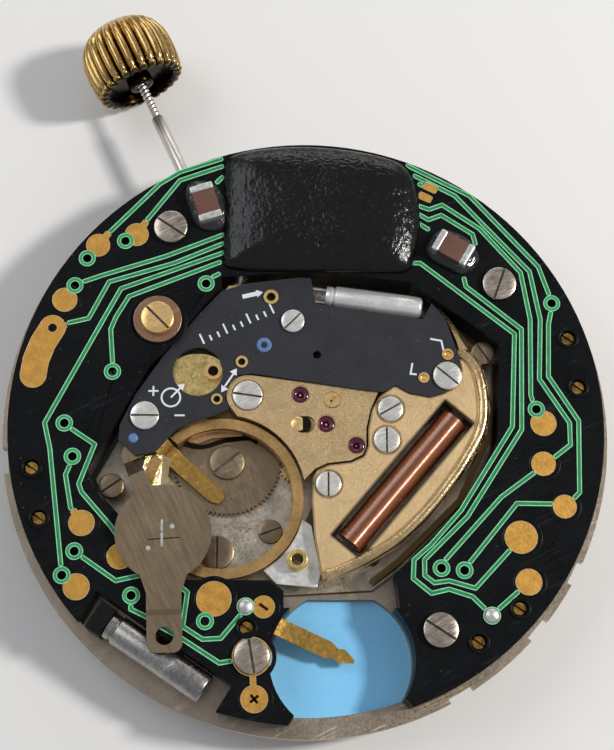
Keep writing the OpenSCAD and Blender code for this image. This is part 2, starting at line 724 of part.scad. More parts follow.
// Analog mainplate with its pillars
pillar_r = 0.5;
holding_shank_r = 0.25;
wall_route = [[6.5, 6], [7.8, 4.55], [8.55, 3.45], [9.05, 1.05], [8.88, -0.65], [7.5, -3.6], [4.45, -6.6],
    [3.15, -7.6]];
wall_t = 0.3;
wall_top = 3.45;
keyless_pillars = [board_screws[0], board_screws[1]];
coil_pillars = [board_screws[2], [8.3, -0.9], [3.2, -6.3]];

module analog_mainplate()
    color([0.78, 0.68, 0.45]) layout() difference() {
        union() {
            plate_at(floor_top, plate_top - floor_top, mainplate_outline);
            for (c = bridge_screws)
                disc_at(c, plate_top, bridge_low - plate_top, pillar_r);
            for (c = coil_pillars)
                disc_at(c, plate_top, bridge_low - plate_top, pillar_r * 0.8);
            for (c = keyless_pillars)
                disc_at(c, plate_top, keyless_low - plate_top, pillar_r);
            band_at(plate_top, wall_top - plate_top, wall_route, wall_t);
            disc_at(setting_axis, plate_top, setting_seat, setting_post_r);
            disc_at(second_axis, plate_top, second_post_h, second_post_r);
            disc_at(lever_pivot, plate_top, lever_z - plate_top, lever_post_r + 0.15);
            disc_at(lever_pivot, plate_top, lever_z + lever_t + 0.05 - plate_top, lever_post_r);
        }
        for (c = [rotor_axis, intermediate_axis])
            disc_at(c, plate_top - 0.3, 1, pivot_r + running_gap);
        disc_at(third_axis, floor_top - cut, 1, third_arbor_r + running_gap);
        disc_at(centre_axis, floor_top - cut, 1, centre_arbor_r + running_gap);
        disc_at(minute_axis, floor_top - cut, 1, minute_arbor_r + running_gap);
        disc_at(setting_axis, floor_top - cut, 2, setting_screw_r);
        disc_at(bridle_pivot, floor_top - cut, 1, bridle_post_r);
        for (c = bridge_screws)
            disc_at(c, plate_top, 2, bridge_shank_r);
        for (c = board_screws)
            disc_at(c, plate_top, 3, board_shank_r);
        for (c = concat(holding_screws, well_screws))
            disc_at(c, floor_top + 0.05, 2, holding_shank_r);
    }

// Rotor and stator
magnet_r = 0.55;
magnet_low = 2.62;
magnet_t = 0.48;
stator_low = 2.75;
stator_bore_r = 0.78;
stator_ring_r = 1.25;
rotor_pinion_low = 3.18;
rotor_pinion_h = 0.24;

mesh_rotor = norm(rotor_axis - intermediate_axis);
rotor_r = mesh_rotor * rotor_teeth / (rotor_teeth + intermediate_teeth);
intermediate_r = mesh_rotor - rotor_r;
mesh_second = norm(intermediate_axis - second_axis);
intermediate_pinion_r = mesh_second * intermediate_pinion_teeth / (intermediate_pinion_teeth + second_teeth);
second_r = mesh_second - intermediate_pinion_r;
mesh_third = norm(second_axis - third_axis);
second_pinion_r = mesh_third * second_pinion_teeth / (second_pinion_teeth + third_teeth);
third_r = mesh_third - second_pinion_r;
mesh_centre = norm(third_axis - centre_axis);
third_pinion_r = mesh_centre * third_pinion_teeth / (third_pinion_teeth + centre_teeth);
centre_r = mesh_centre - third_pinion_r;

// Phase of a driven wheel: a gap faces the tooth of its driver
function facing_gap(from, to, teeth) = angle_to(from, to) + 180 / teeth;

module pivots(c, low, high)
    disc_at(c, low, high - low, pivot_r);

module rotor()
    color([0.5, 0.5, 0.52]) layout() {
        disc_at(rotor_axis, magnet_low, magnet_t, magnet_r);
        disc_at(rotor_axis, plate_top + 0.05, rotor_pinion_low - plate_top, 0.12);
        gear(rotor_axis, rotor_pinion_low, rotor_pinion_h, rotor_teeth, rotor_r,
            angle_to(rotor_axis, intermediate_axis));
        pivots(rotor_axis, plate_top - 0.25, bridge_low + 0.3);
    }

intermediate_z = 3.22;
intermediate_pinion_low = 2.84;
module intermediate_wheel()
    color([0.85, 0.7, 0.35]) layout() {
        gear(intermediate_axis, intermediate_z, wheel_t, intermediate_teeth, intermediate_r,
            facing_gap(intermediate_axis, rotor_axis, intermediate_teeth));
        gear(intermediate_axis, intermediate_pinion_low, intermediate_z - intermediate_pinion_low,
            intermediate_pinion_teeth, intermediate_pinion_r, angle_to(intermediate_axis, second_axis));
        disc_at(intermediate_axis, plate_top + 0.05, intermediate_pinion_low - plate_top, 0.13);
        pivots(intermediate_axis, plate_top - 0.25, bridge_low + 0.3);
    }

second_z = 2.94;
second_pinion_low = 2.5;
second_post_r = 0.11;
second_post_h = 0.92;
module second_wheel()
    color([0.85, 0.7, 0.35]) layout() difference() {
        union() {
            gear(second_axis, second_z, wheel_t, second_teeth, second_r,
                facing_gap(second_axis, intermediate_axis, second_teeth));
            gear(second_axis, second_pinion_low, second_z - second_pinion_low, second_pinion_teeth,
                second_pinion_r, angle_to(second_axis, third_axis));
            disc_at(second_axis, plate_top + 0.05, second_pinion_low - plate_top, second_post_r + 0.12);
        }
        disc_at(second_axis, plate_top, 2, second_post_r + running_gap);
    }

third_z = 2.62;
third_arbor_r = 0.16;
third_pinion_low = 1.3;
third_pinion_h = 0.3;
module third_wheel()
    color([0.85, 0.7, 0.35]) layout() {
        gear(third_axis, third_z, wheel_t, third_teeth, third_r,
            facing_gap(third_axis, second_axis, third_teeth));
        disc_at(third_axis, third_pinion_low, bridge_low - 0.05 - third_pinion_low, third_arbor_r);
        gear(third_axis, third_pinion_low, third_pinion_h, third_pinion_teeth, third_pinion_r,
            angle_to(third_axis, centre_axis));
        pivots(third_axis, third_pinion_low, bridge_low + 0.3);
    }

centre_z = 1.38;
centre_arbor_r = 0.2;
hand_post_low = 0.06;
module centre_wheel()
    color([0.85, 0.7, 0.35]) layout() {
        gear(centre_axis, centre_z, wheel_t, centre_teeth, centre_r,
            facing_gap(centre_axis, third_axis, centre_teeth));
        disc_at(centre_axis, hand_post_low, plate_top + 0.1 - hand_post_low, centre_arbor_r);
    }

// Motion work between the mainplate and the dial side
minute_mesh = motion_module * (cannon_teeth + minute_teeth) / 2;
setting_pinion_r = setting_r * setting_pinion_teeth / setting_teeth;
setting_mesh = setting_r + setting_pinion_r;
setting_reach = norm(setting_axis);
// The minute wheel stands where its wheel meets the cannon pinion and its pinion the setting wheel
minute_angle = angle_to(centre_axis, setting_axis)
    + acos((minute_mesh ^ 2 + setting_reach ^ 2 - setting_mesh ^ 2) / (2 * minute_mesh * setting_reach));
minute_axis = polar(minute_mesh, minute_angle);
cannon_r = motion_module * cannon_teeth / 2;
minute_r = motion_module * minute_teeth / 2;
minute_pinion_r = minute_mesh * minute_pinion_teeth / (minute_pinion_teeth + hour_teeth);
hour_r = minute_mesh - minute_pinion_r;

cannon_z = 1.06;
cannon_gear_h = 0.26;
minute_seat_r = 0.36;
friction_gap = 0.01;
module cannon_pinion()
    color([0.8, 0.8, 0.8]) layout() difference() {
        union() {
            disc_at(centre_axis, 0, hour_low, minute_seat_r);
            translate([0, 0, hour_low])
                cylinder(h = cannon_z - hour_low, r1 = minute_seat_r, r2 = cannon_pipe_r);
            gear(centre_axis, cannon_z, cannon_gear_h, cannon_teeth, cannon_r,
                angle_to(centre_axis, minute_axis));
        }
        disc_at(centre_axis, -cut, 2, centre_arbor_r + friction_gap);
    }

minute_z = 1.1;
minute_arbor_r = 0.15;
minute_pinion_low = 0.76;
setting_pinion_low = 2.26;
setting_pinion_h = 0.24;
module minute_wheel()
    color([0.85, 0.7, 0.35]) layout() {
        gear(minute_axis, minute_z, wheel_t, minute_teeth, minute_r,
            facing_gap(minute_axis, centre_axis, minute_teeth));
        gear(minute_axis, minute_pinion_low, minute_z - minute_pinion_low, minute_pinion_teeth,
            minute_pinion_r, angle_to(minute_axis, centre_axis));
        disc_at(minute_axis, minute_pinion_low, setting_pinion_low - minute_pinion_low, minute_arbor_r);
        gear(minute_axis, setting_pinion_low, setting_pinion_h, setting_pinion_teeth, setting_pinion_r,
            angle_to(minute_axis, setting_axis));
    }

hour_z = 0.8;
hour_low = 0.28;
hour_seat_l = 0.26;
hour_hub_r = 0.8;
module hour_wheel()
    color([0.85, 0.7, 0.35]) layout() difference() {
        union() {
            gear(centre_axis, hour_z, wheel_t, hour_teeth, hour_r,
                facing_gap(centre_axis, minute_axis, hour_teeth));
            disc_at(centre_axis, hour_low, hour_seat_l, hour_pipe_r);
            disc_at(centre_axis, hour_low + hour_seat_l, hour_z - hour_low - hour_seat_l, hour_hub_r);
        }
        disc_at(centre_axis, 0, 2, cannon_pipe_r + running_gap);
    }

cover_t = 0.1;
cover_posts = [[3.6, 2.9], [3.4, -3.3], [-3.9, 2.6]];
cover_post_r = 0.35;
module motion_cover()
    color([0.75, 0.72, 0.66]) layout() {
        difference() {
            translate([0, 0, floor_low]) cylinder(h = cover_t, r = motion_bore_r - seat_gap);
            translate([0, 0, floor_low - cut]) cylinder(h = 1, r = hour_hub_r + 0.12);
            disc_at(minute_axis, floor_low - cut, 1, 0.1);
        }
        for (c = cover_posts)
            disc_at(c, floor_low + cover_t, floor_top - floor_low - cover_t, cover_post_r);
    }

// Setting wheel in the battery well, turning on a post under its screw
setting_seat = 0.32;
setting_z = 2.28;
setting_wheel_t = 0.2;
setting_post_r = 0.4;
setting_screw_r = 0.25;
setting_head_r = 0.86;
setting_tooth = 0.14;
module setting_wheel()
    color([0.6, 0.58, 0.54]) layout() difference() {
        translate([setting_axis[0], setting_axis[1], setting_z])
            linear_extrude(setting_wheel_t)
                polygon(gear_outline(setting_teeth, setting_r, setting_tooth / 3, setting_tooth * 2 / 3,
                    facing_gap(setting_axis, minute_axis, setting_teeth)));
        disc_at(setting_axis, plate_top, 1, setting_post_r + running_gap);
    }

module setting_wheel_screw()
    color([0.6, 0.58, 0.54]) layout()
        slotted_screw(setting_axis, plate_top + setting_seat, setting_head_r, 0.14, setting_screw_r,
            floor_top + 0.05, 40);

// Plate that keeps the setting wheel down where the cell's edge comes
setting_cover_gap = 0.06;
setting_cover_t = 0.14;
setting_cover_outline = [[-6.66, -0.14], [-6.04, -0.56], [-5.35, -0.69], [-4.67, -0.41], [-2.75, -0.26],
    [-2.35, 0.2], [-3.25, 0.75], [-3.75, 1.5], [-4.1, 2.15], [-6.1, 2.15], [-7.05, 1], [-7.1, 0.3]];
setting_cover_posts = [[-4.35, 1.7], [-6.6, 0.6]];
module setting_cover() {
    low = setting_z + setting_wheel_t + setting_cover_gap;
    color([0.66, 0.55, 0.38]) layout() {
        plate_at(low, setting_cover_t, setting_cover_outline);
        for (c = setting_cover_posts)
            disc_at(c, plate_top, low - plate_top, 0.3);
    }
}

// Battery ring, with its support on the well floor and its split at the bridle
ring_low = 2.72;
ring_top = 3.64;
ring_feet = [-100, -20, 150];
ring_notch_l = 2.2;
ring_notch_gap = 0.12;
module battery_ring()
    color([0.84, 0.68, 0.36]) layout() {
        difference() {
            disc_at(battery_well, ring_low, ring_top - ring_low, battery_ring_r + battery_ring_wall);
            disc_at(battery_well, ring_low - cut, 3, battery_ring_r);
            translate([negative_foot[0], negative_foot[1], ring_low - cut])
                rotate([0, 0, negative_angle])
                    translate([0, -blade_w / 2 - ring_notch_gap, 0])
                        cube([ring_notch_l, blade_w + 2 * ring_notch_gap, 3]);
        }
        for (a = ring_feet)
            disc_at(battery_well + polar(battery_ring_r + battery_ring_wall / 2, a), plate_top,
                ring_low - plate_top, 0.22);
    }

// Negative contact blade, folded up under the board
negative_foot = [-7.35, -0.75];
negative_angle = -41;
negative_path = [[0, 3.55], [0.45, 3.55], [1.05, 2.78], [4.25, 2.62]];
negative_foot_r = 0.3;
module negative_contact()
    color([0.86, 0.68, 0.32]) layout() {
        bent_strip(negative_foot, negative_angle, negative_path, blade_t, blade_w);
        disc_at(negative_foot + polar(0.1, negative_angle), plate_top,
            negative_path[0][1] - plate_top, negative_foot_r);
    }

// Battery bridle: eye, neck, disc, tail and the tab for its screw
bridle_eye_r = 0.6;
bridle_low = 3.76;
bridle_high = 4.7;
tab_low = 4.5;
neck_w = 0.8;
neck_root = [-8.62, -1.5];
neck_angle = -68.5;
neck_link = [[-8.8, -0.85], [-7.62, -1.05], [-7.95, -1.6], [-8.24, -1.8], [-9.02, -1.66]];
neck_flare = [[-8.5, -2.8], [-8.28, -3.42], [-8.4, -3.95], [-8.98, -4.62], [-6.84, -5.5], [-6.02, -3.34],
    [-7.05, -3.4], [-7.6, -3.1], [-7.86, -2.5]];
tail_w = 1.66;
tab_l = 1.55;
tab_corner = 0.4;
tab_hole_r = 0.43;
neck_path = [[0, bridle_low + bridle_t / 2], [0.4, bridle_low + bridle_t / 2],
    [1.35, bridle_high + bridle_t / 2], [2, bridle_high + bridle_t / 2]];
tail_angle = angle_to(bridle_disc, bridle_hole);
tail_reach = norm(bridle_hole - bridle_disc);
tail_path = [[0, bridle_high + bridle_t / 2], [tail_reach - 1.25, bridle_high + bridle_t / 2],
    [tail_reach - 1, tab_low + bridle_t / 2], [tail_reach - 0.1, tab_low + bridle_t / 2]];
// Half widths of the tail's root at its distances from the disc's middle
tail_root = [[1.5, 1.75], [2, 1.12], [2.9, 0.82]];

module battery_bridle()
    color([0.55, 0.5, 0.44]) layout() difference() {
        union() {
            disc_at(bridle_pivot, bridle_low, bridle_t, bridle_eye_r);
            plate_at(bridle_low, bridle_t, neck_link);
            bent_strip(neck_root, neck_angle, neck_path, bridle_t, neck_w);
            plate_at(bridle_high, bridle_t, neck_flare);
            disc_at(bridle_disc, bridle_high, bridle_t, bridle_disc_r);
            translate([bridle_disc[0], bridle_disc[1], 0])
                rotate([0, 0, tail_angle])
                    plate_at(bridle_high, bridle_t, concat(tail_root,
                        [for (p = reversed(tail_root)) [p[0], -p[1]]]));
            bent_strip(bridle_disc, tail_angle, tail_path, bridle_t, tail_w);
            translate([bridle_hole[0], bridle_hole[1], tab_low])
                rotate([0, 0, tail_angle])
                    linear_extrude(bridle_t)
                        polygon(rounded_outline(tab_l, tail_w, tab_corner));
        }
        disc_at(bridle_hole, tab_low - 1, 3, tab_hole_r);
        disc_at(bridle_pivot, bridle_low - 1, 3, bridle_post_r + running_gap);
    }

module bridle_pivot_post()
    color([0.7, 0.68, 0.64]) layout() {
        disc_at(bridle_pivot, floor_top + 0.05, bridge_top - 0.02 - floor_top - 0.05, bridle_post_r);
        disc_at(bridle_pivot, plate_top, bridle_low - 0.03 - plate_top, bridle_post_r + 0.2);
    }

// Bush plate under the battery ring's edge, and the threaded bush on it
bush_plate_low = 3.2;
bush_plate_t = 0.24;
bush_plate_arc = [-14, -60];
bush_r = 0.5;
bush_h = 0.7;
module bush_plate()
    color([0.75, 0.74, 0.72]) layout() difference() {
        union() {
            plate_at(bush_plate_low, bush_plate_t, concat(
                arc(battery_well, battery_ring_r + battery_ring_wall + seat_gap,
                    bush_plate_arc[0], bush_plate_arc[1]),
                [[-1.45, -7.75], [0.5, -7.9], [0.7, -7.2], [0.25, -4.9]]));
            disc_at(bush, plate_top, bush_plate_low - plate_top, bush_r);
        }
        disc_at(bush, plate_top - cut, 2, bush_hole_r);
    }

module bridle_bush()
    color([0.8, 0.65, 0.35]) layout() difference() {
        disc_at(bush, bush_plate_low + bush_plate_t, bush_h, bush_r);
        disc_at(bush, bush_plate_low, 3, bush_hole_r);
    }

// Screws that hold the movement, two at its edge and two in the well
movement_head_rs = [0.62, 0.6, 0.84, 0.6];
movement_head_hs = [0.35, 0.3, 0.22, 0.22];
movement_head_zs = [3, 3.48, plate_top, plate_top];
movement_slots = [35, -55, 90, 20];
module movement_screws()
    color([0.62, 0.59, 0.55]) layout()
        for (i = [0:3])
            slotted_screw(concat(holding_screws, well_screws)[i], movement_head_zs[i], movement_head_rs[i],
                movement_head_hs[i], holding_shank_r, floor_top + 0.1, movement_slots[i]);

// Coil with its core and feet
foot_r = 0.7;
core_low = 3.08;
core_gap = 0.02;
foot_shift = polar(1.35, coil_angle + 90);
arm_w = 1.7;

module along_coil()
    translate([coil_middle[0], coil_middle[1], 0]) rotate([0, 0, coil_angle]) children();

module coil_winding()
    color([0.62, 0.34, 0.18]) layout() difference() {
        along_coil()
            translate([-coil_l / 2, 0, coil_z]) rotate([0, 90, 0]) cylinder(h = coil_l, d = coil_d);
        along_coil()
            translate([-coil_l, -core_w / 2 - core_gap, core_low - core_gap])
                cube([coil_l * 2, core_w + 2 * core_gap, core_t + 2 * core_gap]);
    }

module coil_core()
    color([0.55, 0.54, 0.52]) layout() {
        difference() {
            union() {
                along_coil()
                    translate([-foot_reach, -core_w / 2, core_low])
                        cube([2 * foot_reach, core_w, core_t]);
                for (c = coil_feet)
                    disc_at(c, core_low, core_t, foot_r);
            }
            for (c = coil_feet)
                disc_at(c, core_low - cut, 1, 0.25);
        }
    }

module stator()
    color([0.58, 0.57, 0.55]) layout() difference() {
        union() {
            for (c = coil_feet) {
                band_at(stator_low, stator_t, [c, c + foot_shift, rotor_axis], arm_w);
                disc_at(c, stator_low, core_low - stator_low, 0.5);
            }
            disc_at(rotor_axis, stator_low, stator_t, stator_ring_r);
        }
        disc_at(rotor_axis, stator_low - cut, 1, stator_bore_r);
        along_coil()
            translate([-coil_l / 2 - 0.1, -coil_d / 2 - 0.08, stator_low - cut])
                cube([coil_l + 0.2, coil_d + 0.16, 1]);
        for (c = concat(bridge_screws, coil_pillars, [bush]))
            disc_at(c, stator_low - cut, 1, pillar_r + seat_gap);
        disc_at(board_screws[2], stator_low - cut, 1, pillar_r + 0.3);
        disc_at(second_axis, stator_low - cut, 1, second_r + 0.15);
        disc_at(intermediate_axis, stator_low - cut, 1, 0.45);
        band_at(stator_low - cut, 1, wall_route, wall_t + 2 * seat_gap);
    }

// Brass bridges
coil_plate_outline = [[4.35, 2], [5.1, 1.6], [6.05, 1.42], [6.7, 1.6], [7.25, 1.9], [7.65, 2.8],
    [7.45, 3.85], [7.95, 3.82], [8.45, 3.3], [8.8, 2.4], [8.95, 1.4], [8.95, 0.5], [8.75, -0.5],
    [8.05, -1.8], [7.05, -3.2],
    [5.83, -4.68], [4.45, -5.95], [2.9, -6.87], [1.5, -7.5], [0.8, -7.7], [0.55, -6.6], [0.35, -5.2],
    [0.25, -3.75], [0.3, -2.65], [0.5, -2.28], [1.05, -2.02], [2.17, -1.88], [2.8, -1.57], [3, -1.07],
    [3, -0.2], [3.2, 0.75], [3.55, 1.4]];
coil_rim_route = [[7.66, 3.66], [8.02, 3.4], [8.4, 2.85], [8.62, 1.95], [8.7, 0.75], [8.5, -0.35],
    [7.8, -1.6], [6.85, -3], [5.6, -4.5], [4.25, -5.75], [2.75, -6.65], [1.45, -7.25], [0.9, -7.42]];
coil_rim_w = 0.45;
coil_rim_h = 0.12;
coil_rim_crest_w = 0.3;
coil_rim_crest_h = 0.2;
coil_window_l = 8.8;
coil_window_w = 1.84;
bridge_shank_r = 0.3;
board_shank_r = 0.25;

module coil_plate()
    color([0.82, 0.7, 0.45]) layout() difference() {
        union() {
            plate_at(bridge_low, bridge_top - bridge_low, coil_plate_outline);
            band_at(bridge_top, coil_rim_h, coil_rim_route, coil_rim_w);
            band_at(bridge_top, coil_rim_crest_h, coil_rim_route, coil_rim_crest_w);
        }
        along_coil()
            translate([-coil_window_l / 2, -coil_window_w / 2, bridge_low - cut])
                cube([coil_window_l, coil_window_w, 2]);
        for (i = [1:3])
            screw_recess(i);
        disc_at(board_screws[2], bridge_low - cut, 2, board_shank_r + seat_gap);
        for (i = [2, 3])
            disc_at(board_pins[i], bridge_top - 0.2, 1, board_pin_rs[i]);
        disc_at(holding_screws[1], bridge_low - cut, 2, movement_head_rs[1] + seat_gap);
    }

bridge_head_h = 0.32;
bridge_head_z = bridge_top - 0.22;
module screw_recess(i) {
    disc_at(bridge_screws[i], bridge_low - cut, 2, bridge_shank_r + seat_gap);
    disc_at(bridge_screws[i], bridge_head_z, 1, bridge_screw_rs[i] + seat_gap);
}

module bridge_screws()
    color([0.78, 0.77, 0.74]) layout()
        for (i = [0:len(bridge_screws) - 1])
            slotted_screw(bridge_screws[i], bridge_head_z, bridge_screw_rs[i], bridge_head_h, bridge_shank_r,
                plate_top + 0.05, bridge_screw_slots[i]);

well_arc_r = battery_ring_r + battery_ring_wall + 0.12;
ear_r = 1.03;
ear_arc = [215, 85];
well_arc = [12, 80];
train_bridge_outline = concat(
    arc(bridge_screws[0], ear_r, ear_arc[0], ear_arc[1]),
    [[3.5, 1.65], [3.12, 0.78], [2.9, -0.2], [2.9, -1.04], [2.72, -1.48], [2.12, -1.78], [1, -1.92],
        [0.4, -2.2]],
    arc(battery_well, well_arc_r, well_arc[0], well_arc[1])
);

module train_bridge()
    color([0.83, 0.72, 0.48]) layout() difference() {
        plate_at(bridge_low, bridge_top - bridge_low, train_bridge_outline);
        screw_recess(0);
        for (i = [1:3])
            disc_at(bridge_screws[i], bridge_low - cut, 2, bridge_screw_rs[i] + 2 * seat_gap);
        for (c = jewel_axes) {
            disc_at(c, bridge_low - cut, 2, jewel_r);
            disc_at(c, bridge_top - 0.06, 2, jewel_r + 0.06);
        }
        for (c = [second_axis, centre_axis]) {
            disc_at(c, bridge_low - cut, 2, 0.2);
            disc_at(c, bridge_top - 0.25, 2, jewel_r);
        }
    }

module bridge_jewels()
    color([0.55, 0.05, 0.25]) layout()
        for (c = jewel_axes)
            difference() {
                disc_at(c, bridge_low + 0.05, bridge_top - bridge_low - 0.12, jewel_r);
                disc_at(c, bridge_low, 2, pivot_r + running_gap);
                disc_at(c, bridge_top - 0.17, 2, 0.16);
            }

// Keyless bridge under the left of the board, over the stem and its lever
keyless_low = 3.6;
keyless_t = 0.35;
keyless_outline = [[-0.6, 7.35], [-3.9, 7.1], [-6.8, 3.25], [-8.8, -0.15], [-8.65, -0.2], [-7.2, 0],
    [-5.7, 0.75], [-4.15, 1.1], [-3.9, 2.6], [-2.4, 3.2], [-0.1, 2.8], [-0.1, 5.5], [-0.35, 5.9]];
module keyless_bridge()
    color([0.8, 0.68, 0.42]) layout() difference() {
        plate_at(keyless_low, keyless_t, keyless_outline);
        for (c = keyless_pillars)
            disc_at(c, keyless_low - cut, 1, board_shank_r + seat_gap);
    }

// Analog circuit board
analog_board_outline = [[-3.1, 7.15], [-0.35, 7.5], [0.2, 7.45], [0.45, 6.1], [5.75, 5.35], [6.2, 6.2],
    [6.85, 5.4], [7.3, 4.1], [7.6, 2.8], [7.25, 1.9], [6.7, 1.6], [6.05, 1.4], [5.05, 1.58], [4.35, 1.98],
    [3.75, 1.62], [2.8, 1.72], [-2.7, 2.52], [-3.35, 2.45], [-3.85, 1.95], [-4.02, 1.3], [-3.8, 0.75],
    [-4.5, 0.4], [-5.7, 0.05], [-6.4, -0.35], [-7.35, -1.45], [-8.3, -1.6], [-9.15, -0.85], [-9.1, -0.1],
    [-8.4, 1.4], [-7.05, 3.4], [-5.3, 5.6], [-4.25, 6.75]];
board_pins = [[-3.2, 3.1], [-4.4, 1.2], [5.75, 2.35], [6.95, 3.55], [-1.78, 6.45], [-4.6, 2.62]];
board_pin_rs = [0.3, 0.28, 0.27, 0.29, 0.37, 0.43];
board_pin_bore = 0.6;
board_pin_depth = 0.16;

module analog_board()
    color([0.04, 0.05, 0.06]) layout() difference() {
        plate_at(bridge_top, analog_board_t, analog_board_outline);
        disc_at(view_hole, bridge_top - cut, 1, view_hole_r);
        disc_at([0.5, 3.5], bridge_top - cut, 1, 0.2);
        for (c = board_screws)
            disc_at(c, bridge_top - cut, 1, board_shank_r + seat_gap);
        for (i = [0:4])
            disc_at(board_pins[i], bridge_top - cut, 1, board_pin_rs[i] + 0.01);
    }

// A rivet whose top is bored out, from height z
module board_pin(i, z, h)
    difference() {
        disc_at(board_pins[i], z, h, board_pin_rs[i]);
        disc_at(board_pins[i], z + h - board_pin_depth, 1, board_pin_rs[i] * board_pin_bore);
    }

module board_pins()
    color([0.82, 0.64, 0.3]) layout() {
        for (i = [0, 1, 4, 5])
            board_pin(i, keyless_low + keyless_t, 0.28);
        for (i = [2, 3])
            board_pin(i, bridge_top - 0.2, 0.42);
    }

module board_screws()
    color([0.8, 0.79, 0.77]) layout()
        for (i = [0:len(board_screws) - 1])
            slotted_screw(board_screws[i], analog_board_top, [0.7, 0.58, 0.7][i], 0.16, board_shank_r,
                plate_top + 0.05, board_screw_slots[i]);

// Generic printed marks: arrows, signs, a dial symbol and ticks
mark_t = 0.012;
mark_w = 0.09;
marks = [
    [[-6.64, 1.28], [-6.2, 1.75]],
    [[-7.75, 1.6], [-7.25, 1.6]], [[-7.5, 1.35], [-7.5, 1.85]], [[-6.45, 0.38], [-5.95, 0.38]],
    [[-4.02, 1.85], [-3.5, 2.65]],
    [[5.2, 3.1], [5.1, 2.55], [5.4, 2.52]], [[6.1, 4.35], [6.65, 4.25], [6.75, 3.75]]
];
arrow_heads = [[[-2.38, 6.66], 14], [[-3.55, 2.6], 57], [[-4.08, 1.72], 237], [[-6.12, 1.85], 45]];
scale_start = [-5.1, 4.0];
scale_angle = 25;
scale_step = 0.42;
scale_ticks = 10;

module board_markings()
    color([0.85, 0.87, 0.86]) layout() {
        for (route = marks)
            band_at(analog_board_top, mark_t, route, mark_w);
        band_at(analog_board_top, mark_t, [[-3.2, 6.46], [-2.5, 6.63]], 0.22);
        for (a = arrow_heads)
            translate([a[0][0], a[0][1], analog_board_top])
                rotate([0, 0, a[1]])
                    linear_extrude(mark_t)
                        polygon([[0.2, 0], [-0.12, 0.2], [-0.12, -0.2]]);
        difference() {
            disc_at([-6.64, 1.28], analog_board_top, mark_t, 0.5);
            disc_at([-6.64, 1.28], analog_board_top - cut, 1, 0.5 - mark_w);
        }
        translate([scale_start[0], scale_start[1], analog_board_top])
            rotate([0, 0, scale_angle])
                for (i = [0:scale_ticks - 1])
                    translate([i * scale_step, 0, 0])
                        cube([mark_w, i % 3 == 0 ? 0.55 : 0.3, mark_t]);
    }

// Keyless work: stem, crown, sliding pinion and setting lever
module on_stem(x) translate([x, 0, stem_z]) rotate([0, 90, 0]) children();

stem_inner_x = 3;
groove_x = 6.1;
groove_w = 0.3;
groove_r = 0.17;
pinion_x = 4.1;
pinion_l = 0.9;
pinion_r = 0.58;
crown_bore_gap = 0.01;
thread_in_crown = 2;

module stem()
    color([0.62, 0.6, 0.57]) {
        difference() {
            on_stem(stem_inner_x) cylinder(h = thread_x - stem_inner_x, r = stem_r);
            difference() {
                on_stem(groove_x) cylinder(h = groove_w, r = stem_r + cut);
                on_stem(groove_x - cut) cylinder(h = groove_w + 2 * cut, r = groove_r);
            }
        }
        on_stem(thread_x) cylinder(h = crown_x + thread_in_crown - thread_x, d = thread_d);
    }

// Outline of the crown: distance from its inner face and radius, as shares of its size
crown_shape = [[0, 0.93], [0.04, 0.98], [0.12, 1], [0.55, 1], [0.7, 0.95], [0.82, 0.84], [0.92, 0.66],
    [1, 0.42]];
crown_recess_r = 1.75;
crown_recess_depth = 0.5;
crown_post_r = 0.65;
flute_depth = 0.16;
module crown() {
    crown_r = crown_d / 2;
    color([0.8, 0.62, 0.3]) difference() {
        intersection() {
            on_stem(crown_x)
                rotate_extrude()
                    polygon(concat([[0, 0]], [for (p = crown_shape) [p[1] * crown_r, p[0] * crown_l]],
                        [[0, crown_l]]));
            on_stem(crown_x)
                linear_extrude(crown_l)
                    polygon([for (i = [0:crown_flutes - 1], k = [[-0.32, 0], [0.32, 0], [0.5, flute_depth]])
                        polar(crown_r - k[1], (i + k[0]) * 360 / crown_flutes)]);
        }
        on_stem(crown_x - cut) cylinder(h = thread_in_crown + 2 * cut, r = thread_d / 2 + crown_bore_gap);
        difference() {
            on_stem(crown_x - cut) cylinder(h = crown_recess_depth + cut, r = crown_recess_r);
            on_stem(crown_x - 2 * cut) cylinder(h = crown_recess_depth + 3 * cut, r = crown_post_r);
        }
    }
}

module sliding_pinion()
    color([0.6, 0.6, 0.6]) difference() {
        on_stem(pinion_x)
            linear_extrude(pinion_l)
                polygon(gear_outline(14, pinion_r - 0.08, 0.07, 0.09, 0));
        on_stem(pinion_x - cut) cylinder(h = pinion_l + 2 * cut, r = stem_r + running_gap);
    }

lever_pivot_row = [6.25, 1.6];
lever_pivot = turned(lever_pivot_row, layout_angle);
lever_z = 3.28;
lever_t = 0.18;
lever_post_r = 0.2;
lever_pin_r = 0.1;
module setting_lever()
    color([0.6, 0.6, 0.6]) difference() {
        union() {
            disc_at(lever_pivot_row, lever_z, lever_t, 0.5);
            band_at(lever_z, lever_t, [lever_pivot_row, [6.25, -0.15]], 0.4);
            band_at(lever_z, lever_t, [lever_pivot_row, [7.2, 2.3]], 0.45);
            disc_at([groove_x + groove_w / 2, 0], stem_z + groove_r + 0.05, lever_z - stem_z - groove_r,
                lever_pin_r);
        }
        disc_at(lever_pivot_row, lever_z - cut, 1, lever_post_r + running_gap);
    }

